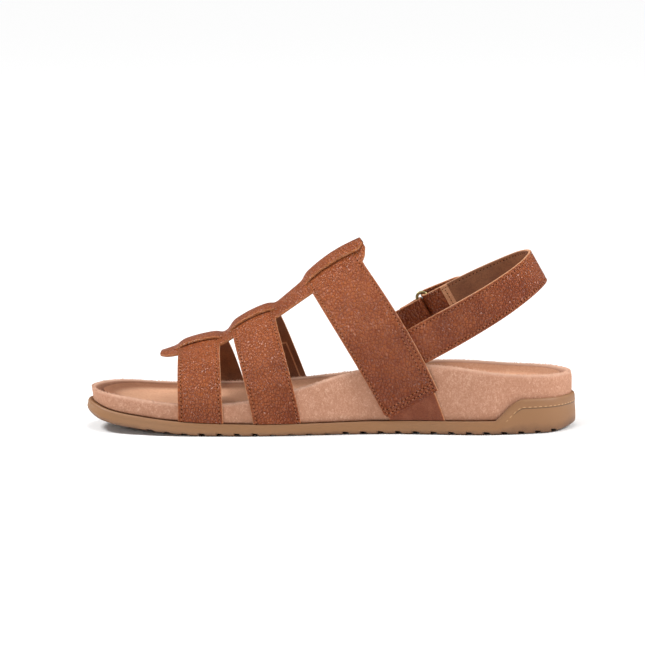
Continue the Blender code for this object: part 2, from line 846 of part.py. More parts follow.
def build_ring_tab(parts):
    bar, rear, out = ring_frame()
    front_bar = bar - rear * 2 * RING_REACH
    radius = RING_WIRE + GAP + TAB_THICKNESS / 2
    start = front_bar - out * radius
    inner = np.array([start - rear * TAB_RUN * (1 - k / 10) for k in range(10)])
    turn = half_turn(front_bar, start, rear, 8)
    pinch = 2 * radius - TAB_THICKNESS - GAP
    outer = []
    for k in range(1, 7):
        share = k / 6
        close = pinch * smooth_step(0.0, 0.8, share)
        outer.append(front_bar + out * (radius - close) - rear * TAB_RETURN * share)
    path = np.vstack((inner, turn, outer))
    grid = ribbon(path, np.full(len(path), TAB_WIDTH))
    grid[:10] = tuck_under(grid[:10], 1, GAP + TAB_THICKNESS / 2, *TAB_TUCK)
    sheet("ring_tab", grid, TAB_THICKNESS, 0.0, "leather", parts)


def build_touch_fastener(parts):
    route, _ = sling_route()
    middle = (route + outside_of(route) * (RING_WIRE + GAP + SLING_THICKNESS / 2))[::-1]
    run = stretch(middle, FASTENER_START, FASTENER_END, 8)
    grid = ribbon(run, np.full(len(run), FASTENER_WIDTH))
    sheet("touch_fastener", grid, 2 * RING_WIRE, 0.0, "touch_tape", parts)


def build_sandal():
    for obj in list(bpy.data.objects):
        bpy.data.objects.remove(obj)
    parts = bpy.data.collections.new(OBJECT_NAME)
    guides = bpy.data.collections.new("guides")
    for collection in (parts, guides):
        bpy.context.scene.collection.children.link(collection)
    build_outsole(parts, guides)
    build_midsole(parts)
    build_insole(parts)
    build_upper(parts, guides)
    build_heel_strap(parts)
    build_ring(parts)
    build_ring_tab(parts)
    build_touch_fastener(parts)
    frame = bpy.data.objects.new("sandal_frame", None)
    parts.objects.link(frame)
    for obj in list(parts.objects):
        if obj is not frame:
            obj.parent = frame


build_sandal()
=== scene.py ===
import math

import bpy
import numpy as np
from mathutils import Matrix, Vector, noise


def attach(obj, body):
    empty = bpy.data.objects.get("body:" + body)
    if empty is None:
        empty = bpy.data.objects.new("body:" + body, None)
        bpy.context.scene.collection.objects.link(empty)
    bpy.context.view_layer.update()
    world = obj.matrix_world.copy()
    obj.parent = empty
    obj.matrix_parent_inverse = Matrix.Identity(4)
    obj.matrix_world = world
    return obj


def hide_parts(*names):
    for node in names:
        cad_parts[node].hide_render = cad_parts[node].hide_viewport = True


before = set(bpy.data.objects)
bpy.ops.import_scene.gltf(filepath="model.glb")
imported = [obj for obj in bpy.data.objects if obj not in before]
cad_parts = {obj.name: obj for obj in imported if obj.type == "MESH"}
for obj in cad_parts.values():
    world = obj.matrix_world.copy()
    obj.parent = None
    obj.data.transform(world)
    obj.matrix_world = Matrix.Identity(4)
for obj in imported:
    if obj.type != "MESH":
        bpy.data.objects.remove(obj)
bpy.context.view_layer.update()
mm = 0.001
print("frame loaded, nodes:", ", ".join(sorted(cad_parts)))

# Shapes are worked out in millimetres: toe at -X, heel at +X, inner side of the foot at -Y

soleShape = {
    "length": 262.0,
    "width": 91.0,
    "sidePoints": 150,
    "cupStart": 86.8,
    "cupRun": 15.2,
    "cupLean": 0.72,  # below 1 the rise is steep at first and rounds off at the top
    "cupTop": 18.4,
    "footbedInset": 3.2,
    "gap": 0.3,
    "toeCore": 0.16,
    "heelCore": 0.14,
    "coreInset": 10.0,  # rings further in than this only close in on the core
    # outline from the toe round the inner side: x, y
    "outline": (
        (-131.0, -12.0), (-123.0, -30.0), (-98.0, -41.5), (-50.0, -44.8), (30.0, -34.5),
        (94.0, -35.0), (120.0, -24.5), (131.0, -1.0), (120.0, 22.5), (94.0, 33.0),
        (38.0, 36.5), (-30.0, 46.2), (-86.0, 40.0), (-115.0, 25.5), (-127.5, 6.5),
    ),
    # bottom of the outsole with its toe spring and heel bevel: x, z
    "tread": (
        (-131.0, 9.4), (-124.0, 6.7), (-116.0, 4.9), (-98.0, 2.6), (-82.0, 1.0),
        (-66.0, 0.0), (-40.0, 0.0), (100.0, 0.0), (116.0, 0.0), (131.0, 2.2),
    ),
    # top edge of the outsole: x, z
    "ledge": (
        (-131.0, 15.7), (-116.0, 11.7), (-98.0, 9.2), (-71.0, 6.9),
        (-44.0, 6.1), (28.0, 6.7), (131.0, 7.5),
    ),
    # footbed: x, inner rim, outer rim, floor
    "footbed": (
        (-131.0, 22.3, 22.9, 17.7), (-116.0, 20.2, 21.0, 16.1), (-98.0, 17.9, 18.3, 14.1),
        (-50.0, 17.3, 16.9, 12.7), (-19.0, 23.9, 19.1, 13.7), (10.0, 32.2, 23.2, 16.5),
        (52.0, 36.3, 30.1, 20.5), (97.0, 31.2, 29.5, 21.2), (131.0, 29.7, 29.7, 21.2),
    ),
}


def along(table, index, place):
    xs = np.array([row[0] for row in table], float)
    values = np.array([row[index] for row in table], float)
    slopes = np.gradient(values, xs)
    place = np.clip(place, xs[0], xs[-1])
    k = np.clip(np.searchsorted(xs, place, side="right") - 1, 0, len(xs) - 2)
    span = xs[k + 1] - xs[k]
    t = (place - xs[k]) / span
    rise = values[k + 1] - values[k]
    bendIn = slopes[k] * span - rise
    bendOut = rise - slopes[k + 1] * span
    return values[k] + t * rise + t * (1 - t) * (bendIn * (1 - t) + bendOut * t)


def smoothStep(low, high, value):
    t = np.clip((value - low) / (high - low), 0.0, 1.0)
    return t * t * (3 - 2 * t)


# smooth curve through points of any dimension, with tangents that follow their spacing
def curveThrough(points, steps, closed=False):
    pts = np.array(points, float)
    count = len(pts)
    result = []
    for i in range(count if closed else count - 1):
        picks = [(i + k) % count if closed else min(max(i + k, 0), count - 1) for k in (-1, 0, 1, 2)]
        p0, p1, p2, p3 = (pts[j] for j in picks)
        span = np.linalg.norm(p2 - p1)
        before = max(np.linalg.norm(p1 - p0), 1e-6)
        after = max(np.linalg.norm(p3 - p2), 1e-6)
        leave = (p1 - p0) / before * span / (before + span) + (p2 - p1) / span * before / (before + span)
        arrive = (p2 - p1) / span * after / (after + span) + (p3 - p2) / after * span / (after + span)
        for b in np.arange(steps) / steps:
            a = 1 - b
            result.append(p1 * a * a * (1 + 2 * b) + p2 * b * b * (1 + 2 * a)
                          + leave * span * a * a * b - arrive * span * b * b * a)
    if not closed:
        result.append(pts[-1])
    return np.array(result)


def lengthsOf(points):
    steps = np.linalg.norm(np.diff(points, axis=0), axis=1)
    return np.concatenate(([0.0], np.cumsum(steps)))


# points of an open path at given lengths along it
def atLengths(points, stops):
    reach = lengthsOf(points)
    return np.stack([np.interp(stops, reach, points[:, k]) for k in range(points.shape[1])], axis=1)


def byLength(points, count):
    return atLengths(points, np.linspace(0.0, lengthsOf(points)[-1], count))


def soleOutline():
    half = soleShape["sidePoints"]
    curve = curveThrough(soleShape["outline"], 40, True)
    low, high = curve.min(axis=0), curve.max(axis=0)
    size = np.array((soleShape["length"], soleShape["width"]))
    curve = (curve - (low + high) / 2) * size / (high - low)
    curve = np.roll(curve, -int(np.argmin(curve[:, 0])), axis=0)
    back = int(np.argmax(curve[:, 0]))
    inner = byLength(curve[:back + 1], half + 1)
    outer = byLength(np.vstack((curve[back:], curve[:1])), half + 1)
    loop = np.vstack((inner[:-1], outer[:-1]))
    run = np.roll(loop, -1, axis=0) - np.roll(loop, 1, axis=0)
    run /= np.linalg.norm(run, axis=1)[:, None]
    return loop, np.stack((-run[:, 1], run[:, 0]), axis=1)


soleLoop, soleInward = soleOutline()


# outline moved inwards, then pulled towards the line midway between its two sides
def soleRing(inset, pull=0.0):
    pts = soleLoop + soleInward * inset
    if not pull:
        return pts
    half = soleShape["sidePoints"]
    middle = (pts + pts[-np.arange(len(pts))]) / 2
    length = np.ptp(pts[:, 0])
    tip = middle[0, 0] + length * soleShape["toeCore"]
    heel = middle[half, 0] - length * soleShape["heelCore"]
    x = np.clip(middle[:, 0], tip, heel)
    y = np.interp(x, middle[:half + 1, 0], middle[:half + 1, 1])
    return pts + (np.stack((x, y), axis=1) - pts) * pull


def ringAt(inset, pull, height):
    flat = soleRing(inset, pull)
    return np.column_stack((flat, height(flat[:, 0], flat[:, 1])))


def sideY(x, side, inset):
    half = soleShape["sidePoints"]
    pts = soleRing(inset)
    edge = pts[:half + 1] if side < 0 else np.vstack((pts[half:], pts[:1]))[::-1]
    return np.interp(x, edge[:, 0], edge[:, 1])


def bottomZ(x):
    return np.maximum(along(soleShape["tread"], 1, x), 0.0)


def ledgeZ(x):
    return along(soleShape["ledge"], 1, x)


# top of the outsole's edge: the ledge, rising into the heel cup
def edgeZ(x):
    share = np.clip((x - soleShape["cupStart"]) / soleShape["cupRun"], 0.0, 1.0) ** soleShape["cupLean"]
    return ledgeZ(x) + (soleShape["cupTop"] - ledgeZ(x)) * smoothStep(0.0, 1.0, share)


def rimZ(x, y):
    share = smoothStep(-soleShape["width"] / 4, soleShape["width"] / 4, y)
    return along(soleShape["footbed"], 1, x) * (1 - share) + along(soleShape["footbed"], 2, x) * share


# Mesh tools

def pickOnly(piece):
    bpy.ops.object.select_all(action="DESELECT")
    piece.select_set(True)
    bpy.context.view_layer.objects.active = piece


# runs mesh tools on the whole of the active piece
def onWholeMesh(*tools):
    bpy.ops.object.mode_set(mode="EDIT")
    bpy.ops.mesh.select_all(action="SELECT")
    for tool, settings in tools:
        tool(**settings)
    bpy.ops.object.mode_set(mode="OBJECT")


outwards = (bpy.ops.mesh.normals_make_consistent, {"inside": False})
weld = (bpy.ops.mesh.remove_doubles, {"threshold": 0.01 * mm})
dropSlivers = (bpy.ops.mesh.dissolve_degenerate, {"threshold": 0.001 * mm})
closeEnds = (bpy.ops.mesh.fill_holes, {"sides": 0})


# marks that the materials read: one number for each point, or one for them all
def setMarks(mesh, marks):
    for mark, values in marks.items():
        layer = mesh.attributes.new(mark, "FLOAT", "POINT")
        values = np.broadcast_to(np.ravel(values), len(mesh.vertices))
        layer.data.foreach_set("value", values.astype(np.float32))


# a flat grid whose rows and columns are laid on a surface, then welded where its edges meet
def gridPiece(name, points, kinds=None, marks=None, smoothAngle=50):
    rows, cols = points.shape[:2]
    bpy.ops.object.select_all(action="DESELECT")
    bpy.ops.mesh.primitive_grid_add(x_subdivisions=cols - 1, y_subdivisions=rows - 1, size=mm)
    piece = bpy.context.object
    piece.name = name
    piece.data.name = name
    piece.data.vertices.foreach_set("co", (points.reshape(-1, 3) * mm).astype(np.float32).ravel())
    if kinds is not None:
        piece.data.polygons.foreach_set("material_index", kinds.astype(np.int32).ravel())
    setMarks(piece.data, marks or {})
    onWholeMesh(weld, dropSlivers, outwards)
    bpy.ops.object.shade_smooth_by_angle(angle=math.radians(smoothAngle))
    return piece


# points and faces of the active object, which is then removed
def takeModel():
    model = bpy.context.object
    points = np.array([v.co for v in model.data.vertices])
    faces = [tuple(p.vertices) for p in model.data.polygons]
    bpy.data.objects.remove(model)
    return points, faces


# one mesh of many copies: each set has a model, the places and axes of its copies, and a material number
def copiesPiece(name, sets, marks=None, smooth=True):
    verts, faces, kinds = [], [], []
    base = 0
    for (points, polygons), places, axes, kind in sets:
        verts.append((places[:, None, :] + points @ axes).reshape(-1, 3))
        kinds += [kind] * (len(places) * len(polygons))
        for _ in places:
            faces += [tuple(i + base for i in polygon) for polygon in polygons]
            base += len(points)
    mesh = bpy.data.meshes.new(name)
    mesh.from_pydata((np.vstack(verts) * mm).tolist(), [], faces)
    mesh.polygons.foreach_set("material_index", np.array(kinds, np.int32))
    setMarks(mesh, marks or {})
    piece = bpy.data.objects.new(name, mesh)
    bpy.context.scene.collection.objects.link(piece)
    pickOnly(piece)
    if smooth:
        bpy.ops.object.shade_smooth()
    return piece


def applyModifier(piece, kind, **settings):
    modifier = piece.modifiers.new(kind.lower(), kind)
    for key, value in settings.items():
        setattr(modifier, key, value)
    pickOnly(piece)
    bpy.ops.object.modifier_apply(modifier=modifier.name)


def joinPieces(name, pieces):
    bpy.ops.object.select_all(action="DESELECT")
    for piece in pieces:
        piece.select_set(True)
    bpy.context.view_layer.objects.active = pieces[0]
    bpy.ops.object.join()
    pieces[0].name = name
    pieces[0].data.name = name
    return pieces[0]


def dress(piece, slot, node, *finishes):
    for finish in finishes:
        piece.data.materials.append(finish)
    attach(piece, "root")
    if node:
        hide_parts(node)
    return piece


# outward direction of a grid whose columns run across and rows run along
def gridNormals(points):
    normal = np.cross(np.gradient(points, axis=1), np.gradient(points, axis=0))
    return normal / np.linalg.norm(normal, axis=2, keepdims=True)


def lifted(points, normals, level):
    return points + normals * np.asarray(level)[..., None]


# smooth skin through rings of points, in this many steps from one ring to the next
def skinThrough(rings, steps):
    rings = np.array(rings)
    return curveThrough(rings.reshape(len(rings), -1), steps).reshape(-1, *rings.shape[1:])


# the first column again after the last, so that a grid closes round
def closeRound(grid):
    return np.concatenate((grid, grid[:, :1]), axis=1)


# Materials

def linear(code):
    channels = [int(code[k:k + 2], 16) / 255 for k in (1, 3, 5)]
    return tuple(c / 12.92 if c < 0.04045 else ((c + 0.055) / 1.055) ** 2.4 for c in channels) + (1.0,)


# texture scale that gives features of this many millimetres in Object coordinates
def grainOf(size):
    return 1 / (size * mm)


# adds a node, sets its properties and its sockets, and links the sockets that are given an output
def addNode(tree, kind, sockets=None, stops=None, **settings):
    node = tree.nodes.new("ShaderNode" + kind)
    for key, value in settings.items():
        setattr(node, key, value)
    for key, value in (sockets or {}).items():
        if isinstance(value, bpy.types.NodeSocket):
            tree.links.new(value, node.inputs[key])
        else:
            node.inputs[key].default_value = value
    for k, (place, colour) in enumerate(stops or ()):
        element = node.color_ramp.elements[k] if k < 2 else node.color_ramp.elements.new(place)
        element.position = place
        element.color = linear(colour)
    return node


def newMaterial(name, **constants):
    material = bpy.data.materials.new(name)
    material.use_nodes = True
    tree = material.node_tree
    shader = tree.nodes["Principled BSDF"]
    for key, value in constants.items():
        shader.inputs[key.replace("_", " ")].default_value = value
    place = addNode(tree, "TexCoord").outputs["Object"]
    return material, tree, shader, place


def addNoise(tree, place, size, detail=2.0, **more):
    sockets = {"Vector": place, "Scale": grainOf(size), "Detail": detail, **more}
    return addNode(tree, "TexNoise", sockets).outputs[0]


def addMath(tree, operation, *values):
    return addNode(tree, "Math", dict(enumerate(values)), operation=operation).outputs[0]


def addRange(tree, value, low, high, fromLow=0.0, fromHigh=1.0, step="LINEAR"):
    sockets = {"Value": value, "From Min": fromLow, "From Max": fromHigh, "To Min": low, "To Max": high}
    return addNode(tree, "MapRange", sockets, interpolation_type=step).outputs[0]


def addRamp(tree, value, stops):
    return addNode(tree, "ValToRGB", {"Fac": value}, stops).outputs[0]


# its colour sockets are the seventh and the eighth
def addMix(tree, share, first, second, blend="MIX"):
    sockets = {0: share, 6: first, 7: second}
    return addNode(tree, "Mix", sockets, data_type="RGBA", blend_type=blend).outputs[2]


def addMark(tree, name):
    return addNode(tree, "Attribute", attribute_name=name).outputs["Fac"]


def addBump(tree, height, strength, depth):
    return addNode(tree, "Bump", {"Strength": strength, "Distance": depth * mm, "Height": height}).outputs[0]


def plugIn(tree, shader, **links):
    for key, output in links.items():
        tree.links.new(output, shader.inputs[key.replace("_", " ")])


# Milled cowhide, dyed through and waxed: fine pebbles and soft wrinkles with darker creases
# between them, a thin even polish, a tone that drifts along the hide, and painted shade that darkens it
# towards the feet of the straps and the heel
def makeHide(name, look):
    # warp and bend in mm, pore and wrinkle in pebbles
    grain = {"warp": 2.6, "bend": 1.3, "squeeze": 0.78, "pore": 0.5, "wrinkle": 1.5, "crease": 0.16}
    weight = {"pore": 0.25, "wrinkle": 4.0}
    material, tree, shader, place = newMaterial(name, IOR=1.48, Specular_IOR_Level=0.1, Coat_Roughness=0.24,
                                                Coat_IOR=1.6, Coat_Weight=look["shine"])
    pebble = look["pebble"]
    warp = addNode(tree, "TexNoise", {"Vector": place, "Scale": grainOf(grain["warp"]), "Detail": 2.0})
    bent = addNode(tree, "VectorMath", {0: warp.outputs["Color"], 1: (grain["bend"] * mm,) * 3, 2: place},
                   operation="MULTIPLY_ADD").outputs[0]
    drawn = addNode(tree, "Mapping", {"Vector": bent, "Scale": (1.0, 1.0, grain["squeeze"])}).outputs[0]
    cells = {"Vector": drawn, "Scale": grainOf(pebble)}
    dome = addNode(tree, "TexVoronoi", {**cells, "Smoothness": 0.3}, feature="SMOOTH_F1")
    split = addNode(tree, "TexVoronoi", cells, feature="DISTANCE_TO_EDGE")
    swell = addRange(tree, dome.outputs["Distance"], 0.0, 1.0, 0.6, 0.1)
    crease = addRange(tree, split.outputs["Distance"], 0.0, 1.0, 0.0, grain["crease"], "SMOOTHSTEP")
    body = addMath(tree, "ADD", swell, crease)
    pore = addNoise(tree, bent, pebble * grain["pore"], 1.0)
    wrinkle = addNoise(tree, drawn, pebble * grain["wrinkle"], 1.0, Distortion=0.8)
    pitted = addMath(tree, "MULTIPLY_ADD", pore, weight["pore"], body)
    relief = addMath(tree, "MULTIPLY_ADD", wrinkle, weight["wrinkle"], pitted)
    tone = addRamp(tree, crease, list(zip((0.0, 0.6, 1.0), look["tones"])))
    # painted shade: the hide is darker at the feet of the straps and towards the heel, added to the drift of
    # its tone
    shadeSlope = addNode(tree, "VectorMath", {0: place, 1: (-1.6, 0.0, 3.4)}, operation="DOT_PRODUCT")
    level = addRange(tree, shadeSlope.outputs["Value"], -0.25, 0.25, 0.04, 0.25)
    toneAndShade = addMath(tree, "ADD", addNoise(tree, place, look["drift"], 4.0), level)
    shadedTone = addMix(tree, 1.0, tone, addRamp(tree, toneAndShade, [(0.2, "#CBB8AC"), (0.8, "#FFFFFF")]), "MULTIPLY")
    worn = addRange(tree, addMark(tree, "edge"), 0.6, 0.0, 0.0, 0.7)
    bump = addBump(tree, relief, look["strength"], look["relief"])
    plugIn(tree, shader, Base_Color=addMix(tree, worn, shadedTone, linear("#BC7A4E")),
           Roughness=addRange(tree, body, 0.65, 0.19, 0.0, 2.0), Normal=bump, Coat_Normal=bump)
    return material


# Vegetable-tanned lining, smooth side in: a flat brown with faint pores and rubbed patches
def makeLining():
    look = {"pore": 0.7, "rub": 9.0}
    material, tree, shader, place = newMaterial("lining_leather", IOR=1.48)
    pore = addNoise(tree, place, look["pore"], 3.0)
    tone = addRamp(tree, addNoise(tree, place, look["rub"]), [(0.3, "#764629"), (0.7, "#895735")])
    speck = addRamp(tree, pore, [(0.35, "#C9BDB3"), (0.55, "#FFFFFF")])
    plugIn(tree, shader, Base_Color=addMix(tree, 0.6, tone, speck, "MULTIPLY"),
           Roughness=addRange(tree, pore, 0.7, 0.5), Normal=addBump(tree, pore, 0.3, 0.1))
    return material


# Cow suede with a short brushed nap: matt, with fine fibre grain, soft light and dark patches
# where the nap lies another way, a painted highlight along the crest of the rim, and painted shade on its
# inner wall
def makeSuede(name, dark, light, pale):
    look = {"fibre": 0.5, "tuft": 1.3, "brush": 9.0, "highlightShare": 0.8}
    material, tree, shader, place = newMaterial(name, Roughness=0.95, Sheen_Weight=0.15, Sheen_Roughness=0.5,
                                                Sheen_Tint=linear(pale), Specular_IOR_Level=0.15)
    lean = addNode(tree, "Mapping", {"Vector": place, "Rotation": (0.0, 0.5, 0.0), "Scale": (1.0, 1.0, 0.75)})
    fibre = addNoise(tree, lean.outputs[0], look["fibre"], 3.0, Roughness=0.7)
    tuft = addNoise(tree, lean.outputs[0], look["tuft"], 3.0, Distortion=0.8)
    brush = addNoise(tree, place, look["brush"], 3.0, Distortion=0.6)
    lay = addMath(tree, "MULTIPLY_ADD", brush, 0.4, tuft)
    nap = addMath(tree, "MULTIPLY_ADD", fibre, 1.3, lay)
    share = addRange(tree, nap, 0.0, 1.0, 0.75, 1.95)
    tone = addRamp(tree, share, [(0.0, dark), (0.55, light), (1.0, pale)])
    # painted highlight: paler along the crest of the rim
    highlightShare = addMath(tree, "MULTIPLY", addMark(tree, "rimHighlight"), look["highlightShare"])
    highlightedNap = addMix(tree, highlightShare, tone, linear(pale))
    # painted shade: darker on the inner wall, where the inside mark is set
    colour = addMix(tree, addMark(tree, "inside"), highlightedNap, linear("#AE9A8F"), "MULTIPLY")
    plugIn(tree, shader, Base_Color=colour,
           Normal=addBump(tree, addMath(tree, "ADD", fibre, tuft), 0.7, 0.3))
    return material


# Moulded gum rubber: satin, slightly mottled, darker towards the foot of its side, with a faint painted
# highlight along its top edge
def makeGumRubber(name, stops):
    look = {"mottle": 7.0, "grit": 0.6}
    material, tree, shader, place = newMaterial(name, IOR=1.52)
    wave = addRange(tree, addNoise(tree, place, look["mottle"], 4.0), -0.16, 0.16)
    level = addMath(tree, "ADD", addMark(tree, "rise"), wave)
    grit = addNoise(tree, place, look["grit"], 3.0)
    plugIn(tree, shader, Base_Color=addRamp(tree, level, stops), Roughness=addRange(tree, grit, 0.45, 0.65),
           Normal=addBump(tree, grit, 0.25, 0.12))
    return material


# Nylon hook-and-loop tape: dark brown pile with the ranks of its hooks
def makeTouchTape():
    material, tree, shader, place = newMaterial("nylon_touch_tape", Roughness=0.9, Sheen_Weight=0.3)
    hooks = addNode(tree, "TexVoronoi", {"Vector": place, "Scale": grainOf(0.8)}).outputs["Distance"]
    plugIn(tree, shader, Base_Color=addRamp(tree, hooks, [(0.1, "#5A4433"), (0.6, "#261A12")]),
           Normal=addBump(tree, hooks, 0.8, 0.3))
    return material


# one noise of this size in mm gives the tone, and the gloss and relief where there are any
def makeSpeckled(name, size, detail, stops, gloss=None, bump=None, **constants):
    material, tree, shader, place = newMaterial(name, **constants)
    specks = addNoise(tree, place, size, detail)
    plugIn(tree, shader, Base_Color=addRamp(tree, specks, stops))
    if gloss:
        plugIn(tree, shader, Roughness=addRange(tree, specks, *gloss))
    if bump:
        plugIn(tree, shader, Normal=addBump(tree, specks, *bump))
    return material


hide = makeHide("pebbled_cowhide", {"pebble": 1.5, "relief": 0.3, "strength": 1.0, "drift": 14.0,
                                    "shine": 0.26, "tones": ("#803E1E", "#944B25", "#9B542D")})
smoothHide = makeHide("smooth_cowhide", {"pebble": 0.9, "relief": 0.08, "strength": 0.5, "drift": 9.0,
                                         "shine": 0.12, "tones": ("#864D36", "#93573D", "#985C42")})
lining = makeLining()
# Cut edge of the two hides: pale undyed fibre that shows as a light line along every strap
cutEdge = makeSpeckled("raw_leather_edge", 0.5, 4.0, [(0.3, "#A86C48"), (0.7, "#D2A07A")], bump=(0.4, 0.15),
                       Roughness=0.85)
footbedSuede = makeSuede("brushed_suede", "#9C6E56", "#B4856C", "#DAB49D")
insoleSuede = makeSuede("insole_microfibre", "#B88668", "#CE9C7D", "#E0B798")
gumRubber = makeGumRubber("gum_rubber_moulded", [(0.0, "#5A3D26"), (0.1, "#744F31"), (0.3, "#89603C"),
                                                 (0.75, "#8B623D"), (0.92, "#865D3B"), (1.0, "#8C6440")])
# Gum rubber in paler tones: a painted highlight on the raised stitches of the heel cup
highlightRubber = makeGumRubber("gum_rubber_raised_highlight", [(0.0, "#9A7049"), (1.0, "#BE9468")])
# Brass wire with an antique wash: dark patina, rubbed bright in patches
brass = makeSpeckled("antique_brass_wire", 1.6, 4.0, [(0.3, "#5E5236"), (0.55, "#96875F"), (0.75, "#C4B487")],
                     (0.5, 0.22), (0.15, 0.06), Metallic=1.0)
# Bonded polyester sewing thread: tan, with the twist of its plies drawn as coarse as it shows
thread = makeSpeckled("sewing_thread", 0.35, 2.0, [(0.3, "#884E2B"), (0.7, "#A8683F")], bump=(0.5, 0.1),
                      Roughness=0.75)
# Needle hole: the dark shaded pit that the thread pulls into the hide
needleHole = makeSpeckled("needle_hole", 0.5, 2.0, [(0.3, "#1E0E07"), (0.7, "#34190C")], Roughness=1.0,
                          Specular_IOR_Level=0.0)
touchTape = makeTouchTape()
print("materials made:", len(bpy.data.materials))

# Outsole

outsoleShape = {
    "seatDepth": 0.4,
    "seatMargin": 1.5,
    "wallGap": 0.15,
    "wallDraft": 0.1,
    "lipDrop": 0.2,  # the inside of its edge is this much lower than the outside
    # side from its top edge to its tread: inset, share of the height, extra height
    "side": (
        (1.5, 1.0, 0.0), (1.1, 1.0, -0.25), (0.75, 1.0, -0.8), (0.4, 0.6, 0.0),
        (0.05, 0.36, 0.0), (0.1, 0.0, 1.6), (0.5, 0.0, 0.5), (1.3, 0.0, 0.0),
    ),
    "sideSteps": 4,
    "treadPull": 0.3,
    "smoothAngle": 35,
    "groovePitch": 9.3,
    "grooveWidth": 4.4,
    "grooveDepth": 1.6,
    "toeGrooves": (-70.0, 1.0),  # forward of this place they are only this deep
    "waist": (-34.0, 2.0, 0.9),  # between these places they are only this deep
    "grooveReach": 0.6,  # share of the sole's width, to each side of the middle
    "grooveSwing": 2.6,
    "grooveBends": 6,
    "grooveFirst": -94.8,
    "grooveLast": 122.0,
    "cutterFoot": -5.0,
    "roofDrop": 0.2,
}


# zigzag wedge across the sole: an upright front wall and a roof that slopes back to the tread
def grooveCutter(x):
    shape = outsoleShape
    waistStart, waistEnd, waistDepth = shape["waist"]
    depth = waistDepth if waistStart < x < waistEnd else shape["grooveDepth"]
    if x < shape["toeGrooves"][0]:
        depth = shape["toeGrooves"][1]
    tread, foot, drop = bottomZ(x), shape["cutterFoot"], shape["roofDrop"]
    half = shape["grooveWidth"] / 2
    section = ((-half, foot), (-half, tread + depth), (half / 10, tread + depth - drop), (half, tread - drop),
               (half, foot), (-half, foot))
    span = soleShape["width"] * shape["grooveReach"]
    rows = []
    for k, y in enumerate(np.linspace(-span, span, shape["grooveBends"] + 1)):
        middle = x + shape["grooveSwing"] / 2 * (1 if k % 2 else -1)
        rows.append([(middle + dx, y, z) for dx, z in section])
    cutter = gridPiece("groove", np.array(rows))
    onWholeMesh(closeEnds, outwards)
    return cutter


def makeOutsole():
    shape = outsoleShape

    def seat(x, y):
        return ledgeZ(x) - shape["seatDepth"]

    def sideZ(share, extra):
        return lambda x, y: bottomZ(x) + share * (edgeZ(x) - bottomZ(x)) + extra

    wall = soleShape["footbedInset"] - shape["wallGap"]
    core = soleShape["coreInset"]
    top = [ringAt(core, 1.0, seat), ringAt(wall + shape["seatMargin"], 0.0, seat), ringAt(wall, 0.0, seat),
           ringAt(wall - shape["wallDraft"], 0.0, sideZ(1.0, -shape["lipDrop"]))]
    side = [ringAt(inset, 0.0, sideZ(share, extra)) for inset, share, extra in shape["side"]]
    tread = [ringAt(core, pull, sideZ(0.0, 0.0)) for pull in (shape["treadPull"], 1.0)]
    rings = closeRound(np.concatenate((top, skinThrough(side, shape["sideSteps"]), tread)))
    x = rings[..., 0]
    rise = (rings[..., 2] - bottomZ(x)) / (edgeZ(x) - bottomZ(x))
    outsole = gridPiece("outsole_rubber", rings, marks={"rise": rise}, smoothAngle=shape["smoothAngle"])
    places = np.arange(shape["grooveFirst"], shape["grooveLast"], shape["groovePitch"])
    grooves = joinPieces("grooves", [grooveCutter(float(x)) for x in places])
    applyModifier(outsole, "BOOLEAN", operation="DIFFERENCE", object=grooves, solver="EXACT")
    bpy.data.objects.remove(grooves)
    pickOnly(outsole)
    bpy.ops.object.shade_smooth_by_angle(angle=math.radians(shape["smoothAngle"]))
    dress(outsole, "gum_rubber", "outsole", gumRubber)


makeOutsole()
print("outsole cut")

# Footbed and insole

footbedShape = {
    "seatLift": 0.3,
    "foot": 0.8,
    # from its side to its inner lip: inset, drop below the rim, largest share of the height, lean at the toe
    "side": (
        (0.1, 4.4, 0.5, 0.4), (0.25, 2.4, 0.35, 0.8), (0.6, 1.1, 0.2, 1.3), (1.2, 0.35, 0.06, 1.8),
        (2.0, 0.0, 0.0, 2.2), (3.4, 0.3, 0.05, 2.4), (5.4, 1.1, 0.17, 2.6),
    ),
    "toeLean": (104.0, 127.0),  # where the lean starts and where it is full, forward of the middle
    "heelLean": (104.0, 122.0, 1.2),  # where its heel starts to stand out, where it is full, how far
    # hollow from its edge to the middle: inset, pull to the centre line, share of the rise
    "hollow": (
        (9.6, 0.0, 1.0), (10.0, 0.12, 0.66), (10.0, 0.36, 0.22), (10.0, 0.72, 0.0), (10.0, 1.0, 0.0),
    ),
    "hollowLip": 1.7,
    "skinSteps": 4,
    "softness": 0.14,
    "softnessSize": 7.0,
    "softRise": 0.5,
    "softRings": (2, -8),
    "rimHighlightWidth": 0.9,
    "wallShadeRings": (5.3, 6.6),  # steps over the rim between which the painted shade of the inner wall sets in
    "toeShade": (20.0, 75.0, 0.55),  # where the painted shade starts and is full, its share at the heel
    "coverEdge": 8.8,
    "coverLip": 1.05,
    "coverThickness": 1.2,
    "coverSteps": 6,
    "coverShade": (0.4, 0.75),  # shares of the rise between which its wall gets painted shade
    "smoothAngle": 60,
}


def hollowZ(rise, drop, lip):
    def height(x, y):
        floor = along(soleShape["footbed"], 3, x)
        return floor + rise * (rimZ(x, y) - lip - floor) - drop
    return height


# painted shade: the inner wall is darker round the toes than at the heel
def shadeTowardsToe(rings):
    start, full, heelShare = footbedShape["toeShade"]
    return heelShare + (1 - heelShare) * smoothStep(start, full, -rings[..., 0])


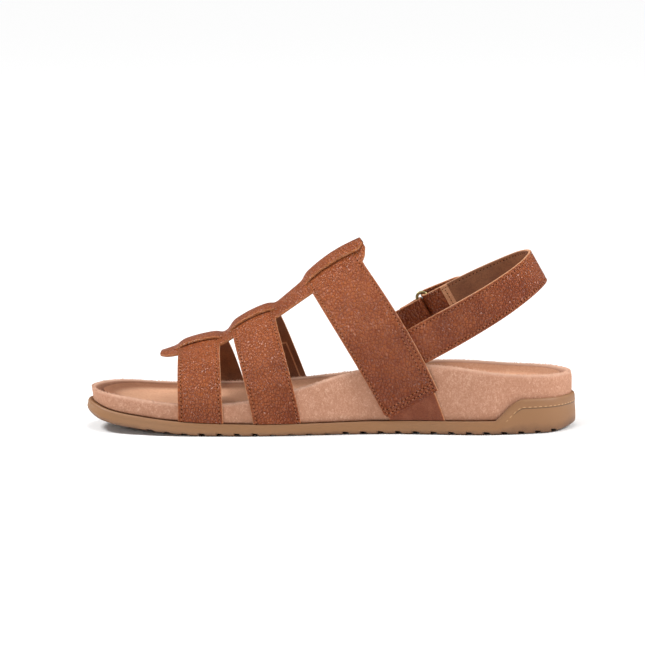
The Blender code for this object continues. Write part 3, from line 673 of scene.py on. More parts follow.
def makeFootbed():
    shape = footbedShape

    def baseZ(x, y):
        return ledgeZ(x) - outsoleShape["seatDepth"] + shape["seatLift"]

    def belowRim(drop, share):
        return lambda x, y: rimZ(x, y) - np.minimum(drop, share * (rimZ(x, y) - baseZ(x, y)))

    inset = soleShape["footbedInset"]
    start = [ringAt(soleShape["coreInset"], 1.0, baseZ), ringAt(inset + shape["foot"], 0.0, baseZ)]
    rest = [ringAt(inset, 0.0, lambda x, y: baseZ(x, y) + shape["foot"])]
    heelStart, heelFull, out = shape["heelLean"]
    for more, drop, share, lean in shape["side"]:
        ring = ringAt(inset + more, 0.0, belowRim(drop, share))
        ring[:, 0] -= lean * smoothStep(*shape["toeLean"], -ring[:, 0])
        ring[:, 0] += out * smoothStep(heelStart, heelFull, ring[:, 0])
        rest.append(ring)
    edge, pull, rise = shape["hollow"][0]
    hollow = ((edge - soleShape["gap"], pull, rise),) + shape["hollow"][1:]
    recess = shape["coverThickness"] + soleShape["gap"]
    rest += [ringAt(more, pull, hollowZ(rise, recess, shape["hollowLip"])) for more, pull, rise in hollow]
    smooth = skinThrough(rest, shape["skinSteps"])
    rings = np.concatenate((start, smooth))
    # the hide is glued over the core by hand, so the side swells a little here and there
    for ring in rings[slice(*shape["softRings"])]:
        for k, p in enumerate(ring):
            swell = noise.noise(Vector(p) / shape["softnessSize"]) * shape["softness"]
            ring[k, :2] += soleInward[k] * swell
            ring[k, 2] += swell * shape["softRise"]
    rings = closeRound(rings)
    # painted highlight: the suede is paler along the crest of the rim
    rimHighlight = np.exp(-((rimZ(rings[..., 0], rings[..., 1]) - rings[..., 2]) / shape["rimHighlightWidth"]) ** 2)
    level = np.linspace(0.0, len(rest) - 1, len(smooth))
    # painted shade on the rim's inner wall
    inside = np.concatenate((np.zeros(len(start)), smoothStep(*shape["wallShadeRings"], level)))
    marks = {"rimHighlight": rimHighlight, "inside": inside[:, None] * shadeTowardsToe(rings)}
    footbed = gridPiece("footbed_suede", rings, marks=marks, smoothAngle=shape["smoothAngle"])
    dress(footbed, "suede", "midsole", footbedSuede)
    return rings


def makeInsole():
    shape = footbedShape
    hollow = ((shape["coverEdge"], 0.0, 1.0),) + shape["hollow"][1:]
    top = [ringAt(inset, pull, hollowZ(rise, 0.0, shape["coverLip"])) for inset, pull, rise in hollow]
    smooth = skinThrough(top, shape["coverSteps"])
    under = smooth - np.array((0.0, 0.0, shape["coverThickness"]))
    rings = closeRound(np.concatenate((smooth[::-1], under)))
    level = np.linspace(0.0, len(top) - 1, len(smooth))
    rises = np.interp(level, np.arange(len(top)), [row[2] for row in hollow])
    # painted shade on the cover's wall, where it rises to the rim
    dark = smoothStep(*shape["coverShade"], np.concatenate((rises[::-1], rises)))
    marks = {"inside": dark[:, None] * shadeTowardsToe(rings)}
    insole = gridPiece("insole_cover", rings, marks=marks, smoothAngle=shape["smoothAngle"])
    dress(insole, "insole_cloth", "insole", insoleSuede)


fuzzShape = {
    "seed": 7,
    "count": 6500,
    "rings": (15, 25),
    "length": (0.4, 1.3),
    "thick": 0.1,
    "lean": 0.5,
    "aside": (0.31, 0.95, 0.05),  # any way that no fibre points
}


# loose fibres of the nap that stand up along the rim, in one mesh from one modelled fibre
def makeRimFuzz(rings):
    shape = fuzzShape
    count = shape["count"]
    pick = np.random.default_rng(shape["seed"])
    bpy.ops.object.select_all(action="DESELECT")
    bpy.ops.mesh.primitive_cone_add(vertices=3, radius1=shape["thick"], depth=1.0)
    points, faces = takeModel()
    fibre = (points + np.array((0.0, 0.0, 0.5)), faces)  # from its root up
    row = pick.integers(*shape["rings"], count)
    col = pick.integers(0, rings.shape[1] - 1, count)
    share = pick.random(count)[:, None]
    roots = rings[row, col] * (1 - share) + rings[row, col + 1] * share
    way = np.array((0.0, 0.0, 1.0)) + pick.normal(0.0, shape["lean"], (count, 3))
    way /= np.linalg.norm(way, axis=1)[:, None]
    side = np.cross(way, shape["aside"])
    side /= np.linalg.norm(side, axis=1)[:, None]
    tall = pick.uniform(*shape["length"], count)[:, None]
    axes = np.stack((side, np.cross(way, side), way * tall), axis=1)
    # the fibres take the full painted highlight of the rim
    fuzz = copiesPiece("footbed_rim_fuzz", [(fibre, roots, axes, 0)], {"rimHighlight": 1.0}, smooth=False)
    dress(fuzz, "suede", None, footbedSuede)


makeRimFuzz(makeFootbed())
makeInsole()
print("footbed and insole laid")

# The last, which the straps follow

lastShape = {
    # edges of the straps from the toe to the instep:
    # inner foot x, crown x, outer foot x, crown y, crown z, roundness, inner bow, outer bow
    "rows": np.array((
        (-86.0, -91.2, -78.0, -5.0, 38.3, 2.1, 0.0, 0.0),
        (-79.8, -81.0, -68.0, -5.0, 41.7, 2.1, 0.2, 0.0),
        (-56.4, -59.4, -46.5, -5.0, 47.1, 2.1, 0.4, 0.0),
        (-40.4, -52.6, -35.0, -5.0, 52.3, 2.0, 1.1, 0.0),
        (-15.6, -30.9, -10.2, -5.0, 63.3, 1.9, 1.1, -0.6),
        (29.8, -13.4, 22.0, -4.0, 78.1, 1.8, 1.6, 0.0),
        (63.6, 11.2, 55.0, -4.0, 95.8, 1.8, 4.6, 0.0),
        (71.5, 16.0, 60.0, -4.0, 99.5, 1.8, 3.8, 0.0),
    )),
    # extra height of the crown midway to the next row, by row
    "dome": {1: 0.8, 2: -0.3, 3: 1.3, 5: 1.7},
    "curveSteps": 90,
    "fronts": {"toe_strap": 1, "middle_strap": 3, "instep_strap": 5},  # rows at the straps' front edges
}


def lastRow(s):
    rows = lastShape["rows"]
    k = min(max(int(s), 0), len(rows) - 2)
    t = s - k
    row = rows[k] * (1 - t) + rows[k + 1] * t
    row[4] += lastShape["dome"].get(k, 0.0) * 4 * t * (1 - t)
    return row


def strapFoot(x):
    return ledgeZ(x) + soleShape["gap"]


# points of a section's flank at heights z: up the footbed's side, then over to the crown
def flank(row, side, z):
    footX, bow = (row[0], row[6]) if side < 0 else (row[2], row[7])
    crownX, crownY, crownZ, roundness = row[1], row[3], row[4], row[5]
    foot = strapFoot(footX)
    z = np.atleast_1d(np.asarray(z, float))
    rise = (z - foot) / (crownZ - foot)
    x = footX + (crownX - footX) * rise + bow * 4 * rise * (1 - rise)
    wall = sideY(x, side, soleShape["footbedInset"] - soleShape["gap"])
    shoulder = rimZ(footX, side * soleShape["width"] / 2)
    up = np.clip((z - shoulder) / (crownZ - shoulder), 0.0, 1.0)
    across = (1 - up ** roundness) ** (1 / roundness)
    return np.stack((x, crownY + (wall - crownY) * across, z), axis=1)


lastCurves = {}


# a section from its inner foot over the crown to its outer foot, with lengths from the crown
def lastCurve(s):
    key = round(float(s), 5)
    if key not in lastCurves:
        row = lastRow(key)
        turn = np.sin(np.linspace(0.0, math.pi / 2, lastShape["curveSteps"]))
        halves = []
        for side in (-1, 1):
            foot = strapFoot(row[0] if side < 0 else row[2])
            halves.append(flank(row, side, foot + (row[4] - foot) * turn))
        inner, outer = halves[0], halves[1][::-1]
        points = np.vstack((inner, outer[1:]))
        reach = lengthsOf(points)
        lastCurves[key] = (reach - reach[len(inner) - 1], points)
    return lastCurves[key]


def lastPoints(s, d):
    lengths, points = lastCurve(s)
    return np.stack([np.interp(d, lengths, points[:, k]) for k in range(3)], axis=-1)


# length from the crown down to height z on the inner flank
def downTo(s, z):
    lengths, points = lastCurve(s)
    inner = lengths <= 0
    return float(np.interp(z, points[inner, 2], -lengths[inner]))


# Bands of leather

bandShape = {
    "nearEdge": (0.0, 0.15, 0.4, 0.75, 1.15, 1.5, 1.8, 2.1, 2.5, 3.0, 3.8),  # columns by the edge
    "columnStep": 1.3,
    "edgeRound": 0.8,
    "edgeDrop": 0.28,
    "stitchInset": 1.8,
    "troughDepth": 0.2,
    "troughWidth": 0.42,
    "rimBulge": 0.14,
    "creaseFade": 0.12,
    "creaseRidge": 1.2,  # height of the ridges beside a crease
    "nearMost": 0.45,  # most of a narrow band that the columns by one edge take up
    "smoothAngle": 55,
}


# columns of a band: fine by both edges, even between them
def columnStops(width, count, nearEdge=bandShape["nearEdge"]):
    near = np.array(nearEdge)
    near = near * min(1.0, bandShape["nearMost"] * width / near[-1])
    middle = np.linspace(near[-1], width - near[-1], count + 2)[1:-1]
    return np.concatenate((near, middle, width - near[::-1]))


# spreads the columns of a coarse grid so that they keep their distance from both edges, and gives
# the points, their normals, their distance from the nearest edge and their share of the width
def layBand(grid):
    widths = np.array([lengthsOf(line)[-1] for line in grid])
    count = int(np.mean(widths - 2 * bandShape["nearEdge"][-1]) / bandShape["columnStep"])
    stops = np.array([columnStops(width, count) for width in widths])
    points = np.array([atLengths(line, stop) for line, stop in zip(grid, stops)])
    widths = widths[:, None]
    return points, gridNormals(points), np.minimum(stops, widths - stops), stops / widths


# relief across a band: rounded edges and a trough where the seam pulls the hide down
def crossRelief(edge, seams=True):
    shape = bandShape
    t = np.clip(1 - edge / shape["edgeRound"], 0.0, 1.0)
    relief = -shape["edgeDrop"] * (1 - np.sqrt(1 - t * t))
    if seams:
        trough = np.exp(-((edge - shape["stitchInset"]) / shape["troughWidth"]) ** 2)
        relief = relief - shape["troughDepth"] * trough
    return relief


# soft troughs with a ridge on each side: length along the band, lean, depth, width, and the
# share of the band's width that each crosses
def creaseRelief(lengths, across, creases):
    fade = bandShape["creaseFade"]
    relief = np.zeros_like(across)
    for place, lean, depth, width, start, end in creases:
        t = (lengths - place - lean * (across - 0.5)) / width
        begun = smoothStep(start - fade, start + fade, across)
        held = begun * (1 - smoothStep(end - fade, end + fade, across))
        relief -= depth * (1 - bandShape["creaseRidge"] * t * t) * np.exp(-t * t) * held
    return relief


# closed band from its outer and inner faces, with rounded cut edges and closed ends; its materials
# are 0 outside, 1 or the given kinds inside, and 2 on the cut edges
def bandPiece(name, outer, inner, kinds=None, edge=None):
    rows, cols = outer.shape[:2]

    def rim(side):
        inward = outer[:, -2 if side else 1] - outer[:, side]
        inward = inward / np.linalg.norm(inward, axis=1)[:, None]
        shares = (0.3, 0.7) if side else (0.7, 0.3)
        return np.stack([outer[:, side] * (1 - t) + inner[:, side] * t - inward * bandShape["rimBulge"]
                         for t in shares], axis=1)

    loop = np.concatenate((outer, rim(-1), inner[:, ::-1], rim(0), outer[:, :1]), axis=1)
    ends = []
    for r in (0, -1):
        line = (outer[r] + inner[r]) / 2
        ends.append(np.concatenate((line, line[[-1, -1]], line[::-1], line[[0, 0]], line[:1])))
    points = np.concatenate((ends[0][None], loop, ends[1][None]))
    if edge is None:
        edge = np.minimum(lengthsAcross(outer), lengthsAcross(outer[:, ::-1])[:, ::-1])
    zero = np.zeros((rows, 2))
    edges = np.concatenate((edge, zero, edge[:, ::-1], zero, edge[:, :1]), axis=1)
    edges = np.concatenate((edges[:1] * 0, edges, edges[:1] * 0))
    faces = np.full((len(points) - 1, points.shape[1] - 1), 2)
    faces[1:-1, :cols - 1] = 0
    faces[1:-1, cols + 2:2 * cols + 1] = 1 if kinds is None else kinds[:, ::-1]
    return gridPiece(name, points, faces, {"edge": edges}, bandShape["smoothAngle"])


def lengthsAcross(points):
    return np.array([lengthsOf(line) for line in points])


# Stitches

# sizes of a stitch and of a needle hole along the seam, across it and upwards
stitchShape = {"pitch": 2.1, "thread": (1.3, 0.4, 0.28), "hole": (0.76, 0.646, 0.16), "reach": 0.4}


def modelStitch(size, segments, rings):
    bpy.ops.object.select_all(action="DESELECT")
    bpy.ops.mesh.primitive_uv_sphere_add(segments=segments, ring_count=rings, radius=0.5)
    onWholeMesh((bpy.ops.transform.resize, {"value": size}))
    return takeModel()


threadModel = modelStitch(stitchShape["thread"], 8, 6)
holeModel = modelStitch(stitchShape["hole"], 8, 4)


# places and axes of the stitches and of the needle holes along a seam line
def sewLine(line, normals, pitch=stitchShape["pitch"]):
    lengths = lengthsOf(line)
    total = lengths[-1]
    count = max(int(total / pitch), 1)
    reach = stitchShape["reach"]

    def framesAt(places):
        ahead = atLengths(line, np.minimum(places + reach, total))
        ahead = ahead - atLengths(line, np.maximum(places - reach, 0.0))
        ahead /= np.linalg.norm(ahead, axis=1)[:, None]
        up = np.stack([np.interp(places, lengths, normals[:, k]) for k in range(3)], axis=1)
        up -= ahead * np.sum(up * ahead, axis=1)[:, None]
        up /= np.linalg.norm(up, axis=1)[:, None]
        return atLengths(line, places), np.stack((ahead, np.cross(up, ahead), up), axis=1)

    return framesAt((np.arange(count) + 0.5) * total / count), framesAt(np.arange(count + 1) * total / count)


# one mesh of all the stitches of a piece, from one modelled stitch and one modelled hole
def sewPiece(name, seams, slot):
    sets = []
    for stitches, holes in seams:
        sets += [(threadModel, *stitches, 0), (holeModel, *holes, 1)]
    return dress(copiesPiece(name, sets), slot, None, thread, needleHole)


# seam line on a band at a distance from one of its edges, between two rows
def seamAlong(face, normals, distance, fromEnd, start=0, stop=None):
    rows = slice(start, stop)
    line, up = [], []
    for points, ups in zip(face[rows], normals[rows]):
        reach = lengthsOf(points)
        place = reach[-1] - distance if fromEnd else distance
        line.append([np.interp(place, reach, points[:, k]) for k in range(3)])
        up.append([np.interp(place, reach, ups[:, k]) for k in range(3)])
    return sewLine(np.array(line), np.array(up))


# Straps

strapShape = {
    "thickness": 1.7,
    "inside": 0.08,
    "coarseColumns": 25,
    "rows": 190,
    "overlayRearEnd": 23.5,
    "overlayRamp": 12.0,
    "overlayCorner": 3.2,
    "overlayCornerShare": 0.14,
    "baseTop": 31.7,
    "baseThickness": 0.85,
    "baseRows": 26,
    "baseFront": 0.05,
    "baseRearFoot": 0.905,
    "baseRearTop": 0.94,
    "patchTop": 38.7,  # patch inside the outer end of the middle strap: its top edge and its rear edge
    "patchRear": 3.6,
    "patchEdge": 0.45,
    # creases by strap: share along it, lean in mm, depth, width, and the share of the width that it crosses
    "creases": {
        "toe_strap": ((0.27, 5.0, 0.16, 2.2, 0.0, 0.8), (0.33, -4.0, 0.1, 2.0, 0.3, 1.0),
                      (0.7, 4.0, 0.14, 2.4, 0.1, 1.0)),
        "middle_strap": ((0.13, 3.0, -0.8, 4.5, 0.1, 1.0), (0.17, 7.0, 0.18, 2.6, 0.1, 1.0),
                         (0.22, 5.0, 0.13, 2.0, 0.0, 0.7), (0.36, -5.0, 0.1, 2.2, 0.2, 0.9),
                         (0.72, 5.0, 0.15, 2.4, 0.0, 1.0)),
        "instep_strap": ((0.2, 9.0, 0.16, 3.0, 0.25, 1.0), (0.34, 8.0, 0.1, 2.6, 0.0, 0.6),
                         (0.78, 6.0, 0.15, 3.0, 0.0, 0.9)),
    },
}


# points on the last from the inner foot to the outer foot, at each of the coarse columns
def strapGrid(front, innerStart=None):
    shares = np.linspace(-1.0, 1.0, strapShape["rows"])
    grid = []
    for u in np.linspace(0.0, 1.0, strapShape["coarseColumns"]):
        s = front + float(u)
        lengths = lastCurve(s)[0]
        innerReach = innerStart(s, u) if innerStart else -lengths[0]
        grid.append(lastPoints(s, np.where(shares < 0, shares * innerReach, shares * lengths[-1])))
    return np.array(grid).transpose(1, 0, 2)


# the instep strap's inner end is cut at a slant, from its foot up to its rear edge
def overlayStart(s, u):
    foot = strapFoot(lastRow(s)[0])
    corner = strapShape["overlayCorner"] * max(0.0, 1 - u / strapShape["overlayCornerShare"]) ** 2
    return downTo(s, foot + corner + u * (strapShape["overlayRearEnd"] - foot))


# faces of a strap with its relief
def strapFaces(name, base):
    spread, normals, edge, across = layBand(base)
    lengths = lengthsOf(spread[:, spread.shape[1] // 2])
    creases = [(place * lengths[-1], *rest) for place, *rest in strapShape["creases"][name]]
    relief = crossRelief(edge) + creaseRelief(lengths[:, None], across, creases)
    outer = lifted(spread, normals, strapShape["thickness"] + relief)
    return outer, lifted(spread, normals, strapShape["inside"]), normals


# inside of a strap: lining, with the pale edges of a patch where it is backed
def patchKinds(inner):
    shape = strapShape
    spots = inner[:-1, :-1]
    fromRear = lengthsAcross(inner[:, ::-1])[:-1, :0:-1]
    low = (spots[..., 1] > 0) & (spots[..., 2] < shape["patchTop"] + shape["patchEdge"])
    rearEdge = np.abs(fromRear - shape["patchRear"]) < shape["patchEdge"]
    topEdge = np.abs(spots[..., 2] - shape["patchTop"]) < shape["patchEdge"]
    topEdge &= fromRear > shape["patchRear"]
    return np.where(low & (rearEdge | topEdge), 2, 1)


def makeStrap(name, innerStart=None, lift=None, patched=False):
    base = strapGrid(lastShape["fronts"][name], innerStart)
    if lift:
        base = lifted(base, gridNormals(base), lift(base))
    outer, inner, normals = strapFaces(name, base)
    strap = bandPiece(name, outer, inner, patchKinds(inner) if patched else None)
    dress(strap, "leather", "upper", hide, lining, cutEdge)
    return outer, normals


# the instep strap rises over the base piece at its inner end
def overlayLift(points):
    low = strapShape["baseTop"]
    share = 1 - smoothStep(low, low + strapShape["overlayRamp"], points[..., 2])
    crownY = lastShape["rows"][lastShape["fronts"]["instep_strap"]][3]
    return np.where(points[..., 1] < crownY, share * strapShape["baseThickness"], 0.0)


def makeBasePiece():
    shape = strapShape
    rows = []
    for share in np.linspace(0.0, 1.0, shape["baseRows"]):
        rear = shape["baseRearFoot"] + (shape["baseRearTop"] - shape["baseRearFoot"]) * share
        line = []
        for u in np.linspace(shape["baseFront"], rear, shape["coarseColumns"]):
            s = lastShape["fronts"]["instep_strap"] + float(u)
            foot = strapFoot(lastRow(s)[0])
            line.append(lastPoints(s, -downTo(s, foot + share * (shape["baseTop"] - foot))))
        rows.append(line)
    spread, normals, edge, _ = layBand(np.array(rows))
    outer = lifted(spread, normals, shape["baseThickness"] + crossRelief(edge, seams=False))
    piece = bandPiece("base_piece", outer, lifted(spread, normals, shape["inside"]))
    dress(piece, "leather", "upper", smoothHide, lining, cutEdge)


inset = bandShape["stitchInset"]
for strapName in ("toe_strap", "middle_strap"):
    face, ups = makeStrap(strapName, patched=strapName == "middle_strap")
    seams = [seamAlong(face, ups, inset, side) for side in (False, True)]
    sewPiece(strapName + "_stitches", seams, "leather")
    print(strapName, "sewn")

instepSeams = {"secondRow": 4.2, "secondLow": 33.7, "secondHigh": 53.7, "endRows": (2.4, 4.6),
               "endSpan": 60, "endUps": 5}
face, ups = makeStrap("instep_strap", overlayStart, overlayLift)
rearHeights = face[:len(face) // 2, -1, 2]
seams = [seamAlong(face, ups, inset, False), seamAlong(face, ups, inset, True)]
seams.append(seamAlong(face, ups, instepSeams["secondRow"], True,
                       int(np.searchsorted(rearHeights, instepSeams["secondLow"])),
                       int(np.searchsorted(rearHeights, instepSeams["secondHigh"]))))
for distance in instepSeams["endRows"]:
    # across the slanted end, along the strap by this length at every column
    end = face[:instepSeams["endSpan"]]
    line = np.array([atLengths(end[:, c], [distance])[0] for c in range(face.shape[1])])
    up = ups[instepSeams["endUps"]]
    reach = lengthsOf(line)
    keep = (reach > inset) & (reach < reach[-1] - inset)
    seams.append(sewLine(line[keep], up[keep]))
sewPiece("instep_strap_stitches", seams, "leather")
makeBasePiece()
print("instep strap and base piece sewn")

# Centre strip

stripShape = {
    "thickness": 1.0,
    "rest": 1.5,  # its top above the last between the straps
    "over": 3.4,  # its top where it bridges a strap
    "under": -0.05,  # its top where its margins pass under a strap
    "ramp": 3.6,
    "rampOver": 1.6,  # how much of the ramp lies over the strap
    "tailRamp": 10.0,
    "dip": (0.25, 0.4),  # its margins turn down from this far before a strap's edge to this far under it
    "settle": 1.8,  # length over which the leather evens out
    "slitGap": 0.15,
    "outerMore": 3.2,  # extra width on the outer side, over the middle of the foot
    "outerFrom": (0.2, 0.9),  # between these rows of the last it grows
    "outerTo": (6.0, 6.7),  # and between these it goes
    "cutRate": 8.0,  # how soon the slits open as the bridge rises
    "uncut": 4.0,  # distance that counts as far from any cut
    "end": 6.999,  # just before the last row
    "samples": 400,
    "bridgeColumns": 7,
    "rows": 400,
    "surfaceColumns": 41,
    "nearEdge": (0.0, 0.25, 0.6, 1.2, 2.2),
    # place between the rows of the last, half width, half width between the slits
    "width": (
        (0.0, 8.5, 4.6), (0.15, 12.0, 6.6), (0.5, 15.2, 8.6), (1.0, 17.0, 9.8), (2.0, 17.0, 9.8),
        (2.5, 17.0, 10.0), (3.0, 16.6, 10.0), (4.5, 16.8, 9.6), (5.2, 16.2, 8.6), (6.0, 15.6, 8.6),
        (6.3, 14.4, 8.6), (6.8, 11.0, 7.2), (7.0, 8.0, 5.3),
    ),
}


# places along the strip at even lengths of the last's crown
def stripPlaces():
    coarse = np.linspace(0.0, stripShape["end"], stripShape["samples"])
    crown = np.array([lastPoints(s, 0.0) for s in coarse])
    reach = lengthsOf(crown)
    stops = np.linspace(0.0, reach[-1], stripShape["rows"])
    rowLengths = np.interp(np.arange(len(lastShape["rows"])), coarse, reach)
    return np.interp(stops, reach, coarse), stops, rowLengths


# evens a surface out along its rows, which are spread this many to the wanted length
def settle(points, spread):
    reach = int(spread * 3)
    weights = np.exp(-0.5 * (np.arange(-reach, reach + 1) / spread) ** 2)
    lead = 2 * points[:1] - points[reach:0:-1]
    tail = 2 * points[-1:] - points[-2:-reach - 2:-1]
    padded = np.concatenate((lead, points, tail))
    return sum(w * padded[k:k + len(points)] for k, w in enumerate(weights / weights.sum()))


# points of a surface at other distances across it
def acrossAt(points, known, wanted):
    return np.array([[np.interp(d, a, line[:, k]) for k in range(3)]
                     for line, a, d in zip(points, known, wanted)]).transpose(0, 2, 1)


def makeCentreStrip():
    shape = stripShape
    places, stops, rowLengths = stripPlaces()
    # how far the bridge has risen and the margins have dipped at each row: 0 between the straps, 1 on them
    cover = np.zeros(len(stops))
    dip = np.zeros(len(stops))
    before, beyond = shape["dip"]
    for name, front in lastShape["fronts"].items():
        first, last = rowLengths[front], rowLengths[front + 1]
        over = shape["rampOver"]
        rise = smoothStep(first - shape["ramp"] + over, first + over, stops)
        if name == "instep_strap":
            fall = smoothStep(last, last + shape["tailRamp"], stops)
        else:
            fall = smoothStep(last - over, last - over + shape["ramp"], stops)
        cover = np.maximum(cover, rise * (1 - fall))
        down = smoothStep(first - before, first + beyond, stops)
        dip = np.maximum(dip, down * (1 - smoothStep(last - beyond, last + before, stops)))
    cut = np.clip(cover * shape["cutRate"], 0.0, 1.0)
    half, slit = (np.interp(places, *np.array(shape["width"])[:, (0, k)].T) for k in (1, 2))
    widened = smoothStep(*shape["outerFrom"], places) * (1 - smoothStep(*shape["outerTo"], places))
    outerHalf = half + shape["outerMore"] * widened
    away = -half[:, None] + (half + outerHalf)[:, None] * np.linspace(0.0, 1.0, shape["surfaceColumns"])
    base = np.array([lastPoints(s, d) for s, d in zip(places, away)])
    normals = gridNormals(base.transpose(1, 0, 2)).transpose(1, 0, 2)
    lift = shape["rest"] + (shape["over"] - shape["rest"]) * cover
    bridgeTop = settle(base + normals * lift[:, None, None], shape["settle"] / stops[1])
    marginTop = settle(base + normals * shape["rest"], shape["settle"] / stops[1])
    marginTop = marginTop + (base + normals * shape["under"] - marginTop) * dip[:, None, None]
    gap = slit + shape["slitGap"] * cut
    pieces = []
    for name, low, high, top, count in (("bridge", -slit, slit, bridgeTop, shape["bridgeColumns"]),
                                        ("inner_margin", -half, -gap, marginTop, 0),
                                        ("outer_margin", gap, outerHalf, marginTop, 0)):
        across = low[:, None] + np.array([columnStops(w, count, shape["nearEdge"]) for w in high - low])
        # distance to the nearest cut edge: the slits are cut only where the bridge has risen
        toSlit = np.abs(np.abs(across) - slit[:, None]) + shape["uncut"] * (1 - cut)[:, None]
        toEdge = np.where(across < 0, half[:, None], outerHalf[:, None]) - np.abs(across)
        edge = np.maximum(np.minimum(toEdge, toSlit), 0.0)
        up = acrossAt(normals, away, across)
        outer = acrossAt(top, away, across) + up * crossRelief(edge, seams=False)[..., None]
        pieces.append(bandPiece(name, outer, outer - up * shape["thickness"], edge=edge))
    strip = joinPieces("centre_strip", pieces)
    return dress(strip, "leather", "upper", hide, lining, cutEdge)


makeCentreStrip()
print("centre strip woven")

# Heel strap, ring, tab and fastener, in one tilted plane

slingShape = {
    "thickness": 1.8,
    "foldLength": 25.0,
    "foldCorner": 7.5,
    "foldLift": (2.0, -0.6),  # the end is folded back a little askew: its lift at the ring and at its tip
    "near": np.array((44.0, -31.0, 46.3)),
    "back": np.array((110.4, -2.0, 85.9)),
    "far": np.array((53.0, 29.0, 56.7)),
    # middle line from the inner end round the heel to the ring: x, y, shift along the plane's normal, width
    "route": (
        (34.0, -29.5, -1.0, 20.0), (44.0, -30.0, -1.0, 20.0), (68.0, -30.0, -1.0, 20.4),
        (91.0, -26.5, -0.4, 19.4), (105.0, -15.5, 0.0, 18.6), (110.0, -1.5, 0.0, 18.6),
        (105.5, 12.0, 0.0, 18.6), (92.0, 22.5, 0.0, 18.6), (74.0, 27.0, 0.6, 18.6), (55.4, 28.5, 0.75, 18.6),
    ),
    "tuck": (51.0, 72.0),
    "rimClearance": 1.0,
    "routeRows": 260,
    "routeSteps": 40,
    "frameRows": 45,
    "turnSteps": 28,
    "instepRows": (4, 7, 31),  # rows of the last that it passes under, and how many places between them
    "foldRows": 50,
    "columns": 9,
    "seamRows": (60, -4, -3),  # first row sewn inside, last before the ring, last of the folded end
    "leatherEnd": 8.7,  # leather facing inside, back from the ring
    "seamStrip": 3.8,  # tan strip where the lining is sewn to it
    # creases: length along the strap, lean in mm, depth, width, and the share of the width that it crosses
    "creases": ((27.0, 6.0, 0.2, 1.6, 0.0, 0.45), (76.0, 3.0, 0.1, 2.4, 0.1, 1.0),
                (84.0, -3.0, 0.12, 2.2, 0.0, 0.9), (97.0, 3.0, 0.12, 2.4, 0.1, 1.0),
                (108.0, -2.0, 0.1, 2.2, 0.0, 1.0)),
}
ringShape = {"wire": 0.85, "reach": 2.79, "halfLength": 11.3, "corner": 2.8, "steps": 64, "wireSteps": 20}
tabShape = {"thickness": 1.5, "returnRun": 11.0, "run": 26.0, "tuck": (32.0, 40.0), "width": 17.6,
            "runRows": 40, "returnRows": 24, "pinchEnd": 0.8, "seamRow": -6}
tapeShape = {"width": 15.0, "start": 6.0, "end": 22.0, "rows": 40}

slingNormal = np.cross(slingShape["back"] - slingShape["near"], slingShape["far"] - slingShape["near"])
slingNormal = slingNormal / np.linalg.norm(slingNormal)


def slingRoute(count):
    near = slingShape["near"]
    plan = byLength(curveThrough(slingShape["route"], slingShape["routeSteps"]), count)
    x, y, shift, widths = plan.T
    z = near[2] - (slingNormal[0] * (x - near[0]) + slingNormal[1] * (y - near[1])) / slingNormal[2]
    return np.stack((x, y, z), axis=1) + shift[:, None] * slingNormal, widths


def outsideOf(route):
    out = np.cross(np.gradient(route, axis=0), slingNormal)
    return out / np.linalg.norm(out, axis=1)[:, None]


def halfTurn(centre, start, back, steps):
    arm = start - centre
    way = back / np.linalg.norm(back) * np.linalg.norm(arm)
    turns = np.linspace(0.0, math.pi, steps + 1)[:, None]
    return centre + arm * np.cos(turns) + way * np.sin(turns)


def ringFrame():
    route, _ = slingRoute(slingShape["frameRows"])
    out = outsideOf(route)[-1]
    rear = route[-2] - route[-1]
    rear = rear / np.linalg.norm(rear)
    bar = route[-1] + out * (ringShape["wire"] + soleShape["gap"] + slingShape["thickness"] / 2)
    return bar, rear, out


# y of the last near the instep at a given x and height
def flankY(x, z, side):
    places = np.linspace(*slingShape["instepRows"])
    spots = np.array([flank(lastRow(float(s)), side, z)[0, :2] for s in places])
    return float(np.interp(x, spots[:, 0], spots[:, 1]))


# moves a band inside the instep strap where it runs under it
def tuckUnder(grid, side, depth, start, end):
    for line in grid:
        share = float(1 - smoothStep(start, end, line[len(line) // 2][0]))
        if not share:
            continue
        for k, (x, y, z) in enumerate(line):
            z = max(z, float(rimZ(x, side * soleShape["width"] / 2)) + slingShape["rimClearance"])
            line[k] = (x, y + (flankY(x, z, side) - side * depth - y) * share, z)


# grid of a band along a route, from its upper edge to its lower edge or the other way
def ribbon(route, widths, columns, downwards):
    stops = np.linspace(-0.5, 0.5, columns)[None, :] * np.broadcast_to(widths, len(route))[:, None]
    if downwards:
        stops = stops[:, ::-1]
    return route[:, None, :] + stops[..., None] * slingNormal


# band of one thickness with the same face on both sides
def evenBand(name, grid, half):
    spread, normals, edge, _ = layBand(grid)
    level = half + crossRelief(edge, seams=False)
    back = lifted(spread, normals, -level)
    kinds = np.zeros((len(spread) - 1, spread.shape[1] - 1))
    return bandPiece(name, lifted(spread, normals, level), back, kinds), back, normals, edge


